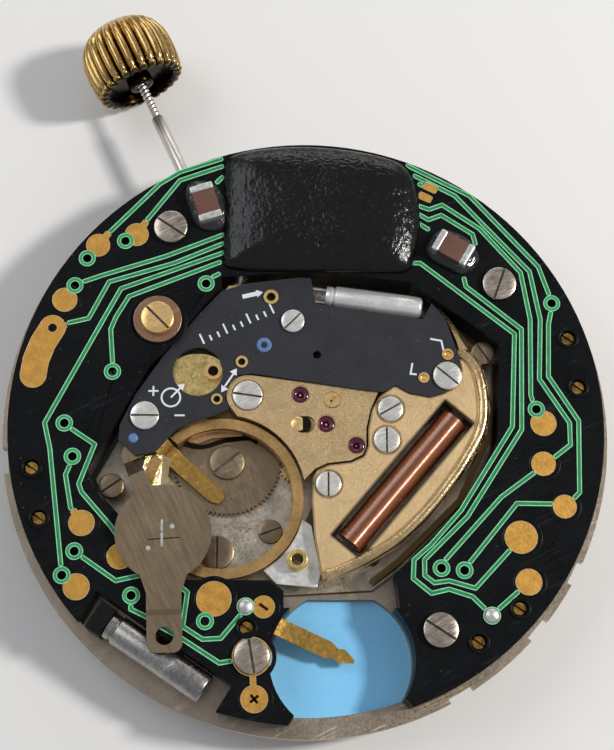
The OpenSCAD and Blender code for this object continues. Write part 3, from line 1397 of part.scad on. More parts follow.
base_ring();
spacer_frame();
side_contacts();
ring_pcb();
circuit_tracks();
via_rings();
contact_pads();
chip_glob_top();
capacitor_bodies();
capacitor_terminals();
capacitor_epoxy();
digital_crystal();
crystal_leads();
analog_crystal();
battery_insulator_film();
digital_battery_contact();
pcb_screws();
clamp_washer();
case_clamp_screw();
circuit_pins();
lcd_glass();
lcd_connectors();
analog_mainplate();
rotor();
intermediate_wheel();
second_wheel();
third_wheel();
centre_wheel();
cannon_pinion();
minute_wheel();
hour_wheel();
motion_cover();
setting_wheel();
setting_wheel_screw();
setting_cover();
battery_ring();
negative_contact();
battery_bridle();
bridle_pivot_post();
bush_plate();
bridle_bush();
movement_screws();
coil_winding();
coil_core();
stator();
coil_plate();
bridge_screws();
train_bridge();
bridge_jewels();
keyless_bridge();
analog_board();
board_pins();
board_screws();
board_markings();
stem();
crown();
sliding_pinion();
setting_lever();
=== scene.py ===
"""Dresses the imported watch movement: finishes for its carried-over parts and finer pieces in their place."""

import math
import random

import bmesh
import bpy
from bpy.props import FloatProperty, FloatVectorProperty, IntProperty, PointerProperty
from mathutils import Matrix, Vector, noise


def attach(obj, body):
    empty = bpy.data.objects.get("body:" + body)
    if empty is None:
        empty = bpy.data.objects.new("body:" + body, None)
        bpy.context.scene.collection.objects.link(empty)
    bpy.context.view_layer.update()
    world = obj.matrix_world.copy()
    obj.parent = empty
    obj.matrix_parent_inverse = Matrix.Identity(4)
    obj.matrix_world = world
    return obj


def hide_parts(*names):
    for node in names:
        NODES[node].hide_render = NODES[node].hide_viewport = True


bl_info = {
    "name": "Watch movement dressing",
    "version": (1, 0, 0),
    "blender": (4, 5, 0),
    "location": "View3D > Sidebar > Movement",
    "description": "Builds the fine pieces and finishes of a quartz watch movement round its packed frame",
    "category": "Object",
}

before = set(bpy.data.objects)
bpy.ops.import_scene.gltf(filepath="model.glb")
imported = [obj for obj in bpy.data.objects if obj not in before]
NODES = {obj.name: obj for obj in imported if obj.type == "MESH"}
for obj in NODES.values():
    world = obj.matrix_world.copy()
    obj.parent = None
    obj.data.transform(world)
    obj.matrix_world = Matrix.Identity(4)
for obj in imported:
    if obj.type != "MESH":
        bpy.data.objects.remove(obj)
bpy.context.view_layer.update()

MM = 0.001
TAU = 2 * math.pi
# Plans are laid out as the photo shows them and turned so that the stem lies on +X
LAYOUT = Matrix.Rotation(math.radians(-115), 4, "Z") @ Matrix.Scale(MM, 4)
ROW = Matrix.Scale(MM, 4)
UP = Vector((0, 0, 1))

# Heights, in millimetres
BOARD_TOP = 4.4
ANALOG_TOP = 4.15
BRIDGE_TOP = 4.0
PLATE_TOP = 2.2
BRIDLE_TOP = 4.88
STEM_Z = 2.9

# Cells of the finishes' noise over a metre, and how deep their relief is in metres
GRAINS_A_METRE = 20000.0
MOTTLES_A_METRE = 900.0
SPECKS_A_METRE = 2600.0
RELIEF_DEPTH = 0.000012
# The crown in its finish, in metres: where its ribs taper and its hollow ends along X, the radius of the
# hollow, which is darkened as painted shade, and the radii between which the grooves lighten
CROWN_TAPER = (0.0222, 0.0238)
CROWN_HOLLOW = (0.0223, 0.0224)
CROWN_HOLLOW_RADIUS = 0.00195
CROWN_GROOVES = (0.0021, 0.00236)

# The coil, the crown and the stem's thread along their axes, in millimetres
COIL_LENGTH = 8.06
COIL_RADIUS = 0.745
CROWN_START = 20.2
CROWN_LENGTH = 3.6
CROWN_RADIUS = 2.44
THREAD_START = 18.34
THREAD_END = 22.0
THREAD_PITCH = 0.23
# The rounding of a crystal can's far end and the thickness of the contact blades, in millimetres
CAN_ROUND = 0.16
BLADE_THICKNESS = 0.12

# The floor, in metres
FLOOR_REACH = 0.6
FLOOR_Z = -0.00002
# The camera as measured in the photo: angles in degrees, aim and distance in millimetres
CAMERA_TILT = 15.27
CAMERA_YAW = -5.05
CAMERA_AIM = (0, 2.39, 4.4)
CAMERA_DISTANCE = 84.86
SENSOR_HEIGHT = 24
FOCAL_PIXELS = 1734
PICTURE_PIXELS = 750

# Plan places, in millimetres
GLOB_MIDDLE = (0.75, 10.95)
GLOB_OUTLINE = [
    (-4.12, 7.72), (-4.15, 8.4), (-4.18, 12.9), (-4.12, 13.6), (-3.7, 13.92), (-2.4, 14.24), (0, 14.4),
    (2.4, 14.18), (4.5, 13.68), (5.15, 13.15), (5.55, 12.3), (5.68, 9.9), (5.35, 8.3), (5.1, 7.75),
    (4.4, 7.64), (0, 7.68),
]
COIL_MIDDLE = (4.68, -2.66)
COIL_TURN = 50
COIL_Z = 3.36
BRIDLE_DISC = (-6.84, -5.5)
CAPACITORS = [((-5.06, 11.12), -72), ((7.25, 8.8), -30)]
# Pads with raised lacquer round them: place and radius
MASK_RIMS = [
    ((-10.75, -5), 0.63), ((11.45, -2), 0.6), ((12.4, -4.1), 0.58), ((10.25, -5.6), 0.8),
    ((10.55, -7.75), 0.64), ((-4.4, -8.6), 0.84), ((-2.05, -8.97), 0.54), ((-2.46, -13.26), 0.65),
    ((-2.6, -11.3), 0.92), ((-7.35, 5.15), 1.22), ((-11.95, 6.15), 0.62), ((-8.9, -6.6), 0.62),
]
JEWELS = [(2.42, -1.02), (0.95, 0.04), (-0.32, 1.51)]
PIN_HOLES = [
    (-13.25, -2.3), (-12.8, -4.75), (12.9, 4.35), (13.3, 1.85), (10.1, -9), (8.1, -10.6), (-2.85, -9.95),
]
# Bores of the hand board's pins, floored with painted shade: place, radius and height
BOARD_PINS = [
    ((-3.2, 3.1), 0.18, 4.085), ((-4.4, 1.2), 0.168, 4.085), ((-1.78, 6.45), 0.222, 4.085),
    ((-4.6, 2.62), 0.258, 4.085), ((1.19, 1.22), 0.06, 3.98),
]
# The board's view hole, whose edge gets a crescent of painted shade: place and radius
VIEW_HOLE = (-5.35, 2.6)
VIEW_HOLE_RADIUS = 1.21
COIL_RIM = [
    (7.66, 3.66), (8.02, 3.4), (8.4, 2.85), (8.62, 1.95), (8.7, 0.75), (8.5, -0.35), (7.8, -1.6), (6.85, -3),
    (5.6, -4.5), (4.25, -5.75), (2.75, -6.65), (1.45, -7.25), (0.9, -7.42),
]
# The thin leaf at the end of the coil plate's rim: its outer and inner edge
RIM_LEAF = [
    ((5.84, 6.6), (5.95, 6.3)), ((6.3, 6.42), (6.2, 6.22)), ((6.9, 5.72), (6.72, 5.62)),
    ((7.3, 5.12), (7.12, 5.0)), ((7.62, 4.42), (7.38, 4.3)), ((7.95, 3.84), (7.56, 3.75)),
]
CONTACT_LEAF = [
    (-8.0, -2.26), (-7.82, -1.57), (-7.25, -1.4), (-7.06, -1.36), (-6.65, -1.64), (-6.74, -2.49),
    (-6.28, -3.1), (-7.13, -3.17), (-7.65, -2.99),
]


# Nodes of the finishes

class Net:
    """The nodes of a material or a group, with a short way to add and link each kind."""

    def __init__(self, tree):
        self.nodes, self.link = tree.nodes, tree.links.new

    def feed(self, socket, value):
        """Links a socket to an input, or sets the input to a plain colour or number."""
        if isinstance(value, bpy.types.NodeSocket):
            self.link(value, socket)
        elif socket.type == "RGBA":
            socket.default_value = (*value[:3], 1)
        else:
            socket.default_value = value

    def add(self, kind, tree=None, **inputs):
        """A node with its named inputs, and a group's tree; an underscore stands for a space."""
        node = self.nodes.new("ShaderNode" + kind)
        if tree:
            node.node_tree = tree
        for name, value in inputs.items():
            self.feed(node.inputs[name.replace("_", " ")], value)
        return node

    def place(self):
        """The point on the object, in metres."""
        return self.nodes.new("ShaderNodeTexCoord").outputs["Object"]

    def axes(self):
        """The outputs X, Y and Z of the point on the object."""
        return self.add("SeparateXYZ", Vector=self.place()).outputs

    def remap(self, value, low, high, to_low=0.0, to_high=1.0):
        """A clamped map of one range onto another."""
        return self.add("MapRange", Value=value, From_Min=low, From_Max=high, To_Min=to_low,
                        To_Max=to_high).outputs["Result"]

    def mix(self, factor, a, b):
        """Mixes two colours; each is a socket or a plain colour."""
        node = self.nodes.new("ShaderNodeMix")
        node.data_type = "RGBA"
        for name, value in (("Factor", factor), ("A", a), ("B", b)):
            self.feed(node.inputs[name], value)
        return node.outputs["Result"]

    def math(self, kind, *values):
        """A math node on sockets or numbers."""
        node = self.nodes.new("ShaderNodeMath")
        node.operation = kind
        for socket, value in zip(node.inputs, values):
            self.feed(socket, value)
        return node.outputs[0]

    def noise(self, vector, scale, detail, rough=0.55, distortion=0.0):
        """A noise texture, read at a point."""
        return self.add("TexNoise", Vector=vector, Scale=scale, Detail=detail, Roughness=rough,
                        Distortion=distortion).outputs["Fac"]


def node_group(name, fill, inputs, outputs):
    """A shader node group with named sockets, built the first time that it is asked for."""
    tree = bpy.data.node_groups.get(name)
    if tree:
        return tree
    tree = bpy.data.node_groups.new(name, "ShaderNodeTree")
    for label, value in inputs.items():
        kind = "NodeSocketVector" if isinstance(value, tuple) else "NodeSocketFloat"
        tree.interface.new_socket(label, in_out="INPUT", socket_type=kind).default_value = value
    for label, kind in outputs.items():
        tree.interface.new_socket(label, in_out="OUTPUT", socket_type=kind)
    net = Net(tree)
    given = tree.nodes.new("NodeGroupInput").outputs
    end = tree.nodes.new("NodeGroupOutput")
    for label, socket in fill(net, given).items():
        net.link(socket, end.inputs[label])
    return tree


def grain_group():
    """Fine grain: stretched noise that drives colour, roughness and a shallow relief."""
    def fill(net, given):
        stretched = net.nodes.new("ShaderNodeVectorMath")
        stretched.operation = "MULTIPLY"
        net.link(net.place(), stretched.inputs[0])
        net.link(given["Stretch"], stretched.inputs[1])
        fine = net.noise(stretched.outputs[0], net.math("DIVIDE", GRAINS_A_METRE, given["Size"]), 4, 0.62)
        broad = net.noise(net.place(), net.math("DIVIDE", MOTTLES_A_METRE, given["Mottle Size"]), 3, 0.5)
        bump = net.add("Bump", Distance=RELIEF_DEPTH, Strength=given["Relief"], Height=fine)
        return {"Grain": fine, "Mottle": broad, "Normal": bump.outputs["Normal"]}

    return node_group(
        "Fine grain", fill, {"Stretch": (1.0, 1.0, 1.0), "Size": 1.0, "Relief": 0.5, "Mottle Size": 1.0},
        {"Grain": "NodeSocketFloat", "Mottle": "NodeSocketFloat", "Normal": "NodeSocketVector"})


def flecks_group():
    """Dust and nicks: small scattered specks and thin scratches, as masks."""
    def fill(net, given):
        place = net.place()
        cells = net.add("TexVoronoi", Scale=SPECKS_A_METRE, Vector=place).outputs
        near = net.remap(cells["Distance"], 0.13, 0.04)
        rare = net.add("SeparateColor", Color=cells["Color"]).outputs["Red"]
        dust = net.math("MULTIPLY", near, net.remap(rare, 0.72, 0.8))
        scratch = 0.0
        for turn, fineness in ((0.5, 1500.0), (2.1, 1100.0), (2.9, 1900.0)):
            spin = net.add("Mapping", Vector=place, Rotation=(0, 0, turn), Scale=(1.0, 0.04, 1.0))
            line = net.noise(spin.outputs["Vector"], fineness, 2.0, 0.5, 0.6)
            thin = net.remap(net.math("ABSOLUTE", net.math("SUBTRACT", line, 0.5)), 0.008, 0.0)
            rest = net.remap(net.noise(place, fineness * 0.35, 1.0), 0.54, 0.62)
            scratch = net.math("MAXIMUM", net.math("MULTIPLY", thin, rest), scratch)
        return {"Dust Mask": net.math("MULTIPLY", dust, given["Dust"]),
                "Scratch Mask": net.math("MULTIPLY", scratch, given["Scratches"])}

    return node_group("Dust and scratches", fill, {"Dust": 0.5, "Scratches": 0.5},
                      {"Dust Mask": "NodeSocketFloat", "Scratch Mask": "NodeSocketFloat"})


# Finishes by name
MADE = {}


def finish(name, low, high, metal=0.0, rough=(0.3, 0.45), size=1.0, stretch=(1, 1, 1), relief=0.3,
           mottle=1.0, dust=0.0, scratches=0.0, dust_colour=(0.5, 0.5, 0.48), specular=0.5, coat=0.0,
           coat_rough=0.1, coat_ior=1.5, tint=None):
    """A finish with grain, mottling, dust and scratches. Colours run from low to high over the surface."""
    material = bpy.data.materials.new(name)
    material.use_nodes = True
    net = Net(material.node_tree)
    grain = net.add("Group", grain_group(), Stretch=stretch, Size=size, Relief=relief,
                    Mottle_Size=mottle).outputs
    tone = net.math("ADD", net.remap(grain["Mottle"], 0.3, 0.7, 0.0, 0.6),
                    net.remap(grain["Grain"], 0.3, 0.7, 0.0, 0.4))
    base = net.mix(tone, low, high)
    roughness = net.remap(grain["Grain"], 0.3, 0.7, *rough)
    if dust or scratches:
        flecks = net.add("Group", flecks_group(), Dust=dust, Scratches=scratches).outputs
        base = net.mix(flecks["Dust Mask"], base, dust_colour)
        base = net.mix(flecks["Scratch Mask"], base, [min(1.0, 1.35 * c + 0.03) for c in high[:3]])
        worn = net.math("ADD", flecks["Dust Mask"], flecks["Scratch Mask"])
        roughness = net.math("ADD", roughness, net.remap(worn, 0.0, 1.0, 0.0, 0.3))
    if tint:
        base = tint(net, grain, base)
    shader = net.nodes["Principled BSDF"]
    for label, value in (("Metallic", metal), ("Specular IOR Level", specular), ("Coat Weight", coat),
                         ("Coat Roughness", coat_rough), ("Coat IOR", coat_ior), ("Base Color", base),
                         ("Roughness", roughness), ("Normal", grain["Normal"])):
        net.feed(shader.inputs[label], value)
    MADE[name] = material


def height_tint(other, low, high):
    """Another colour for what stands higher than a level, in millimetres."""
    def add(net, grain, base):
        return net.mix(net.remap(net.axes()["Z"], low * MM, high * MM), base, other)
    return add


def hollow_shade_and_groove_tint(dark):
    """Darkens what lies near the stem's axis: the crown's hollow, as painted shade, and its grooves outside
    that.
    """
    def add(net, grain, base):
        x, y, z = net.axes()
        z = net.math("SUBTRACT", z, STEM_Z * MM)
        far = net.math("SQRT", net.math("ADD", net.math("MULTIPLY", y, y), net.math("MULTIPLY", z, z)))
        taper = net.remap(x, *CROWN_TAPER, 1.0, 0.55)
        clear = net.remap(net.math("DIVIDE", far, taper), *CROWN_GROOVES, 0.12)
        # The hollow's face is darkened as painted shade
        hollow = net.remap(x, *CROWN_HOLLOW, CROWN_HOLLOW_RADIUS, 0.0)
        clear = net.math("MULTIPLY", clear, net.math("GREATER_THAN", far, hollow))
        fine = net.math("MULTIPLY", clear, net.remap(grain["Grain"], 0.2, 0.6, 0.75, 1.0))
        return net.mix(fine, dark, base)
    return add


def wire_tint(dark):
    """Uneven darker patches on the coil's wire."""
    def add(net, grain, base):
        return net.mix(net.math("MULTIPLY", net.remap(grain["Mottle"], 0.35, 0.65), 0.5), base, dark)
    return add


def strip_tint(light, step):
    """Stripes of a layered rubber connector."""
    def add(net, grain, base):
        spin = net.add("Mapping", Vector=net.place(), Rotation=(0, 0, math.radians(-90)))
        wave = net.add("TexWave", Scale=step, Vector=spin.outputs["Vector"])
        return net.mix(net.remap(wave.outputs["Fac"], 0.45, 0.55), base, light)
    return add


def make_finishes(colours):
    """Every finish of the part, from the panel's colours."""
    def shade(colour, k):
        return [min(1.0, c * k) for c in colour[:3]]

    def pair(colour, low=0.82, high=1.1):
        return shade(colour, low), shade(colour, high)

    finish("Board lacquer", *pair(colours.board, 0.6, 1.5), rough=(0.24, 0.36), size=3, relief=0.25,
           mottle=2, dust=0.5, scratches=0.3, dust_colour=(0.12, 0.12, 0.11), specular=0.08)
    finish("Hand board lacquer", *pair(colours.hand_board, 0.85, 1.2), rough=(0.42, 0.55), size=2,
           relief=0.2, dust=0.5, scratches=0.15, dust_colour=(0.2, 0.2, 0.18), specular=0.15)
    finish("Track lacquer", *pair(colours.track, 0.65, 1.1), rough=(0.25, 0.4), size=3, relief=0.5,
           mottle=0.5, specular=0.35)
    finish("Via lacquer", *pair(colours.track, 0.9, 1.5), rough=(0.2, 0.35), size=3, relief=0.5,
           specular=0.5)
    # Painted highlight along the edges of tracks and vias
    finish("Lacquer edge highlight", *pair(colours.edge, 0.7, 1.2), rough=(0.2, 0.35), size=3, relief=0.8, mottle=0.4)
    # Painted highlight along the pads' edges
    finish("Plating edge highlight", (0.55, 0.33, 0.1), (0.98, 0.74, 0.4), metal=0.75, rough=(0.25, 0.4), size=3,
           relief=0.8, mottle=0.4)
    finish("Gold pad", *pair(colours.pad, 0.75, 1.15), metal=0.75, rough=(0.4, 0.55), size=2.5, relief=0.9,
           mottle=0.45, dust=0.3, dust_colour=(0.25, 0.12, 0.03))
    finish("Epoxy black", (0.001, 0.001, 0.001), (0.004, 0.004, 0.004), rough=(0.1, 0.24), size=7,
           relief=3.4, specular=0.4, dust=0.3, dust_colour=(0.1, 0.1, 0.1))
    finish("Epoxy clear", (0.006, 0.006, 0.007), (0.03, 0.03, 0.032), rough=(0.05, 0.22), size=6,
           relief=0.8, specular=0.6)
    finish("Capacitor ceramic", *pair(colours.capacitor, 0.8, 1.2), rough=(0.45, 0.6), size=2, relief=0.5,
           mottle=0.6, dust=0.4, dust_colour=(0.4, 0.25, 0.2))
    finish("Tinned end", (0.45, 0.45, 0.43), (0.86, 0.86, 0.83), metal=0.8, rough=(0.25, 0.5), size=4,
           relief=1.0, mottle=0.5)
    finish("Crystal can", (0.7, 0.69, 0.67), (0.9, 0.89, 0.87), metal=0.6, rough=(0.25, 0.42), size=3,
           relief=0.6, mottle=0.7, scratches=0.4)
    finish("Worn can", (0.2, 0.19, 0.18), (0.52, 0.5, 0.47), metal=1.0, rough=(0.25, 0.42), size=3,
           relief=0.6, mottle=1.2, scratches=0.7)
    finish("Screw steel", (0.6, 0.58, 0.53), (0.88, 0.86, 0.81), metal=0.6, rough=(0.16, 0.34), size=1.6,
           stretch=(1, 0.15, 1), relief=0.5, mottle=0.5, scratches=0.8)
    finish("Worn steel", (0.32, 0.26, 0.2), (0.72, 0.63, 0.53), metal=1.0, rough=(0.2, 0.36), size=1.6,
           stretch=(1, 0.15, 1), relief=0.5, mottle=0.4, scratches=0.5)
    finish("Dark steel", *pair(colours.dark_steel, 0.7, 1.0), metal=1.0, rough=(0.28, 0.45), size=2,
           stretch=(0.2, 1, 1), relief=0.35, mottle=1.5, scratches=0.6)
    finish("Bridle steel", *pair(colours.dark_steel, 0.85, 1.15), metal=1.0, rough=(0.26, 0.4), size=3,
           stretch=(0.1, 1, 1), relief=0.35, mottle=1.5, scratches=0.12)
    finish("Stem steel", (0.55, 0.49, 0.43), (0.86, 0.8, 0.74), metal=1.0, rough=(0.28, 0.42), size=2,
           stretch=(0.06, 1, 1), relief=0.5)
    finish("Pin gold", (0.1, 0.05, 0.015), shade(colours.contact, 0.95), metal=1.0, rough=(0.2, 0.4),
           size=4, relief=1.0, mottle=0.35)
    finish("Screw gold", (0.85, 0.5, 0.17), (1.0, 0.74, 0.34), metal=0.8, rough=(0.18, 0.34), size=1.6,
           stretch=(1, 0.15, 1), relief=0.5, scratches=0.5)
    finish("Contact gold", *pair(colours.contact, 0.72, 1.15), metal=1.0, rough=(0.14, 0.3), size=4,
           relief=0.6, mottle=1.5, scratches=0.5)
    finish("Ring gold", *pair(colours.ring, 0.5, 1.22), metal=0.88, rough=(0.12, 0.26), size=2, relief=0.8,
           mottle=1.0, dust=0.2, dust_colour=(0.2, 0.12, 0.04))
    finish("Bridge brass", *pair(colours.bridge, 0.8, 1.1), metal=1.0, rough=(0.28, 0.44), size=1.5,
           relief=1.3, mottle=0.8, dust=0.3, dust_colour=(0.2, 0.14, 0.06), scratches=0.15)
    finish("Coil plate brass", *pair(colours.bridge, 1.0, 1.3), metal=0.9, rough=(0.28, 0.44), size=1.5,
           relief=1.3, mottle=0.8, dust=0.3, dust_colour=(0.2, 0.14, 0.06), scratches=0.15)
    finish("Rim brass", *pair(colours.bridge, 0.7, 1.3), metal=1.0, rough=(0.14, 0.26), size=2.5,
           relief=1.2, mottle=0.8, dust=0.15, dust_colour=(0.2, 0.14, 0.06), scratches=0.2)
    finish("Plate brass", *pair(colours.plate, 0.6, 1.2), metal=1.0, rough=(0.22, 0.38), size=3, relief=1.2,
           mottle=0.35, dust=0.3, dust_colour=(0.15, 0.1, 0.05))
    finish("Well nickel", (0.36, 0.3, 0.22), (0.86, 0.76, 0.6), metal=1.0, rough=(0.26, 0.45), size=2.5,
           relief=0.9, mottle=0.6, dust=0.3, dust_colour=(0.1, 0.08, 0.05), scratches=0.3,
           tint=height_tint((0.12, 0.075, 0.03), 2.3, 2.5))
    finish("Wheel brass", *pair(colours.wheel, 0.85, 1.1), metal=1.0, rough=(0.2, 0.32), size=1.5,
           relief=0.4)
    finish("Bush nickel", (0.6, 0.59, 0.56), (0.92, 0.91, 0.88), metal=1.0, rough=(0.38, 0.55), size=5,
           relief=1.0, mottle=0.7)
    finish("Ring nickel", *pair(colours.base, 0.75, 1.12), metal=1.0, rough=(0.28, 0.46), size=3,
           stretch=(1, 1, 0.2), relief=0.6, mottle=2, dust=0.2, scratches=0.7, dust_colour=(0.3, 0.26, 0.2))
    finish("Soft iron", (0.05, 0.042, 0.035), (0.13, 0.11, 0.09), metal=1.0, rough=(0.35, 0.5), size=2,
           stretch=(0.2, 1, 1), relief=0.6)
    finish("Magnet steel", (0.1, 0.1, 0.11), (0.25, 0.25, 0.26), metal=1.0, rough=(0.3, 0.45), size=2)
    finish("Ruby", *pair(colours.ruby, 0.6, 1.2), rough=(0.03, 0.08), size=3, relief=0.1, mottle=0.4,
           specular=0.6, coat=0.3, coat_rough=0.03)
    finish("Coil copper", *pair(colours.copper, 0.75, 1.25), metal=1.0, rough=(0.26, 0.4), size=2,
           relief=0.4, mottle=0.6, coat=1.0, coat_rough=0.16, coat_ior=2.0,
           tint=wire_tint(shade(colours.copper, 0.55)))
    finish("Washer copper", *pair(colours.washer, 0.85, 1.1), metal=1.0, rough=(0.25, 0.4), size=1.5,
           relief=0.5, scratches=0.4)
    finish("Crown gold", *pair(colours.crown, 0.75, 1.25), metal=1.0, rough=(0.12, 0.28), size=3,
           relief=0.5, mottle=0.5, scratches=0.5, tint=hollow_shade_and_groove_tint((0.012, 0.006, 0.002)))
    finish("Film blue", *pair(colours.film, 0.93, 1.06), rough=(0.3, 0.42), size=4, relief=0.3, mottle=3,
           specular=0.4, scratches=0.15)
    finish("Spacer plastic", (0.003, 0.003, 0.003), (0.01, 0.01, 0.01), rough=(0.3, 0.5), size=3,
           relief=0.8, specular=0.12, dust=0.3, dust_colour=(0.12, 0.12, 0.11))
    finish("Print white", (0.62, 0.65, 0.68), (0.8, 0.83, 0.86), rough=(0.5, 0.65), size=1.5, relief=0.6)
    finish("Print blue", (0.05, 0.1, 0.26), (0.14, 0.24, 0.48), rough=(0.35, 0.5), size=1.5, relief=0.4)
    finish("Slot shadow", (0.003, 0.002, 0.001), (0.012, 0.008, 0.004), rough=(0.6, 0.8), size=2,
           relief=0.6, specular=0.08)
    # Painted shade on the floors of the screws' slots
    finish("Painted slot shade", (0.05, 0.04, 0.03), (0.2, 0.17, 0.13), metal=0.6, rough=(0.3, 0.5), size=3,
           relief=0.6, mottle=0.4)
    finish("Foil gold", (0.7, 0.5, 0.2), (0.98, 0.84, 0.52), metal=1.0, rough=(0.1, 0.22), size=4,
           relief=1.0, mottle=0.5)
    finish("Connector rubber", (0.03, 0.03, 0.03), (0.06, 0.06, 0.06), rough=(0.6, 0.75), size=2,
           relief=0.5, tint=strip_tint((0.5, 0.48, 0.42), 1500))
    finish("Display glass", (0.3, 0.34, 0.28), (0.38, 0.42, 0.35), rough=(0.03, 0.06), size=6, relief=0.05,
           specular=0.6, coat=0.5, coat_rough=0.02)


# Which finish each carried-over node has, and how far its edges are broken, in millimetres
NODE_FINISHES = {
    "base_ring": ("Ring nickel", 0.05), "spacer_frame": ("Spacer plastic", 0.03),
    "side_contacts": ("Contact gold", 0.015), "ring_pcb": ("Board lacquer", 0.04),
    "circuit_tracks": ("Track lacquer", 0.014), "via_rings": ("Via lacquer", 0.014),
    "contact_pads": ("Gold pad", 0.02), "crystal_leads": ("Tinned end", 0.0),
    "battery_insulator_film": ("Film blue", 0.0), "clamp_washer": ("Washer copper", 0.04),
    "circuit_pins": ("Pin gold", 0.05), "lcd_glass": ("Display glass", 0.03),
    "lcd_connectors": ("Connector rubber", 0.02), "analog_mainplate": ("Well nickel", 0.03),
    "rotor": ("Magnet steel", 0.0), "intermediate_wheel": ("Wheel brass", 0.0),
    "second_wheel": ("Wheel brass", 0.0), "third_wheel": ("Wheel brass", 0.0),
    "centre_wheel": ("Wheel brass", 0.0), "cannon_pinion": ("Screw steel", 0.0),
    "minute_wheel": ("Wheel brass", 0.0), "hour_wheel": ("Wheel brass", 0.0),
    "motion_cover": ("Ring nickel", 0.02), "setting_wheel": ("Dark steel", 0.0),
    "battery_ring": ("Ring gold", 0.05), "battery_bridle": ("Bridle steel", 0.025),
    "bridle_pivot_post": ("Screw steel", 0.03), "bush_plate": ("Bush nickel", 0.04),
    "bridle_bush": ("Plate brass", 0.05), "coil_core": ("Soft iron", 0.03), "stator": ("Soft iron", 0.02),
    "coil_plate": ("Coil plate brass", 0.05), "train_bridge": ("Bridge brass", 0.05),
    "keyless_bridge": ("Plate brass", 0.03), "analog_board": ("Hand board lacquer", 0.02),
    "board_pins": ("Screw gold", 0.05), "board_markings": ("Print white", 0.0),
    "sliding_pinion": ("Screw steel", 0.0), "setting_lever": ("Screw steel", 0.03),
    "setting_cover": ("Bridge brass", 0.03),
}


# Mesh helpers: a form is a pair of points in millimetres and faces

def new_object(name, verts, faces, matrix=Matrix()):
    """An object from points and faces, with its faces turned outward."""
    mesh = bpy.data.meshes.new(name)
    mesh.from_pydata([matrix @ Vector(v) for v in verts], [], faces)
    form = bmesh.new()
    form.from_mesh(mesh)
    bmesh.ops.recalc_face_normals(form, faces=form.faces)
    form.to_mesh(mesh)
    form.free()
    item = bpy.data.objects.new(name, mesh)
    bpy.context.collection.objects.link(item)
    return item


def add_piece(name, form, material, body="movement", matrix=LAYOUT, sharp=35.0, bevel=0.0):
    """A piece from a form, riding on a body."""
    piece = new_object(name, *form, matrix)
    piece.data.polygons.foreach_set("use_smooth", [True] * len(piece.data.polygons))
    piece.data.set_sharp_from_angle(angle=math.radians(sharp))
    piece.data.materials.append(MADE[material])
    if bevel:
        break_edges(piece, bevel)
    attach(piece, body)
    return piece


def break_edges(piece, width):
    """Rounds the sharp edges a little, as tumbling and plating do."""
    modifier = piece.modifiers.new("Broken edges", "BEVEL")
    modifier.width = width * MM
    modifier.segments = 2
    modifier.limit_method = "ANGLE"
    modifier.angle_limit = math.radians(38)
    modifier.use_clamp_overlap = True
    modifier.harden_normals = True


def join(parts):
    """One form from several."""
    verts, faces = [], []
    for more_verts, more_faces in parts:
        base = len(verts)
        verts += [tuple(v) for v in more_verts]
        faces += [[base + i for i in f] for f in more_faces]
    return verts, faces


def moved(form, matrix):
    """The same form under a matrix."""
    return [matrix @ Vector(v) for v in form[0]], form[1]


def placed(form, x, y, z=0.0, turn=0.0):
    """The same form at a place, turned about Z by an angle in degrees."""
    return moved(form, Matrix.Translation((x, y, z)) @ Matrix.Rotation(math.radians(turn), 4, "Z"))


def rings(count, turns, point, closed=False):
    """A form from rings of points; point(row, column) gives each. The ends meet, or else are capped."""
    verts = [point(i, j) for i in range(count) for j in range(turns)]
    faces = []
    for i in range(count if closed else count - 1):
        here, there = i * turns, (i + 1) % count * turns
        for j in range(turns):
            k = (j + 1) % turns
            faces.append([here + j, here + k, there + k, there + j])
    if not closed:
        faces.append(list(range(turns))[::-1])
        faces.append([(count - 1) * turns + j for j in range(turns)])
    return verts, faces


def lofted(rows):
    """A form through rows that hold as many points each."""
    return rings(len(rows), len(rows[0]), lambda i, j: rows[i][j])


def turned_form(profile, turns=48, closed=False):
    """A turned form about Z; the profile holds radius and height from the bottom up."""
    def point(i, j):
        (r, z), a = profile[i], TAU * j / turns
        return r * math.cos(a), r * math.sin(a), z

    return rings(len(profile), turns, point, closed)


BOX_FACES = [[0, 3, 2, 1], [4, 5, 6, 7], [0, 1, 5, 4], [1, 2, 6, 5], [2, 3, 7, 6], [3, 0, 4, 7]]


def block(x, y, z, w, l, h, turn=0.0):
    """A box about a middle point, with its foot at z."""
    plan = ((-1, -1), (1, -1), (1, 1), (-1, 1))
    corners = [(sx * w / 2, sy * l / 2, high) for high in (0, h) for sx, sy in plan]
    return placed((corners, BOX_FACES), x, y, z, turn)


def softened(points, passes=2, closed=False):
    """Cuts the corners of a line of points."""
    for _ in range(passes):
        pairs = list(zip(points, points[1:] + (points[:1] if closed else [])))
        fresh = [] if closed else [points[0]]
        for a, b in pairs:
            a, b = Vector(a), Vector(b)
            fresh += [tuple(a.lerp(b, 0.25)), tuple(a.lerp(b, 0.75))]
        if not closed:
            fresh.append(points[-1])
        points = fresh
    return points


def heading(line, k):
    """The direction of a line at one of its points."""
    return (line[min(k + 1, len(line) - 1)] - line[max(k - 1, 0)]).normalized()


def boolean_cut(form, cutter):
    """The first form without the second."""
    items = [new_object("cut", *part) for part in (form, cutter)]
    modifier = items[0].modifiers.new("cut", "BOOLEAN")
    modifier.operation = "DIFFERENCE"
    modifier.solver = "EXACT"
    modifier.object = items[1]
    result = items[0].evaluated_get(bpy.context.evaluated_depsgraph_get())
    mesh = result.to_mesh()
    verts = [tuple(v.co) for v in mesh.vertices]
    faces = [list(p.vertices) for p in mesh.polygons]
    result.to_mesh_clear()
    for item in items:
        mesh = item.data
        bpy.data.objects.remove(item)
        bpy.data.meshes.remove(mesh)
    return verts, faces


# Pieces

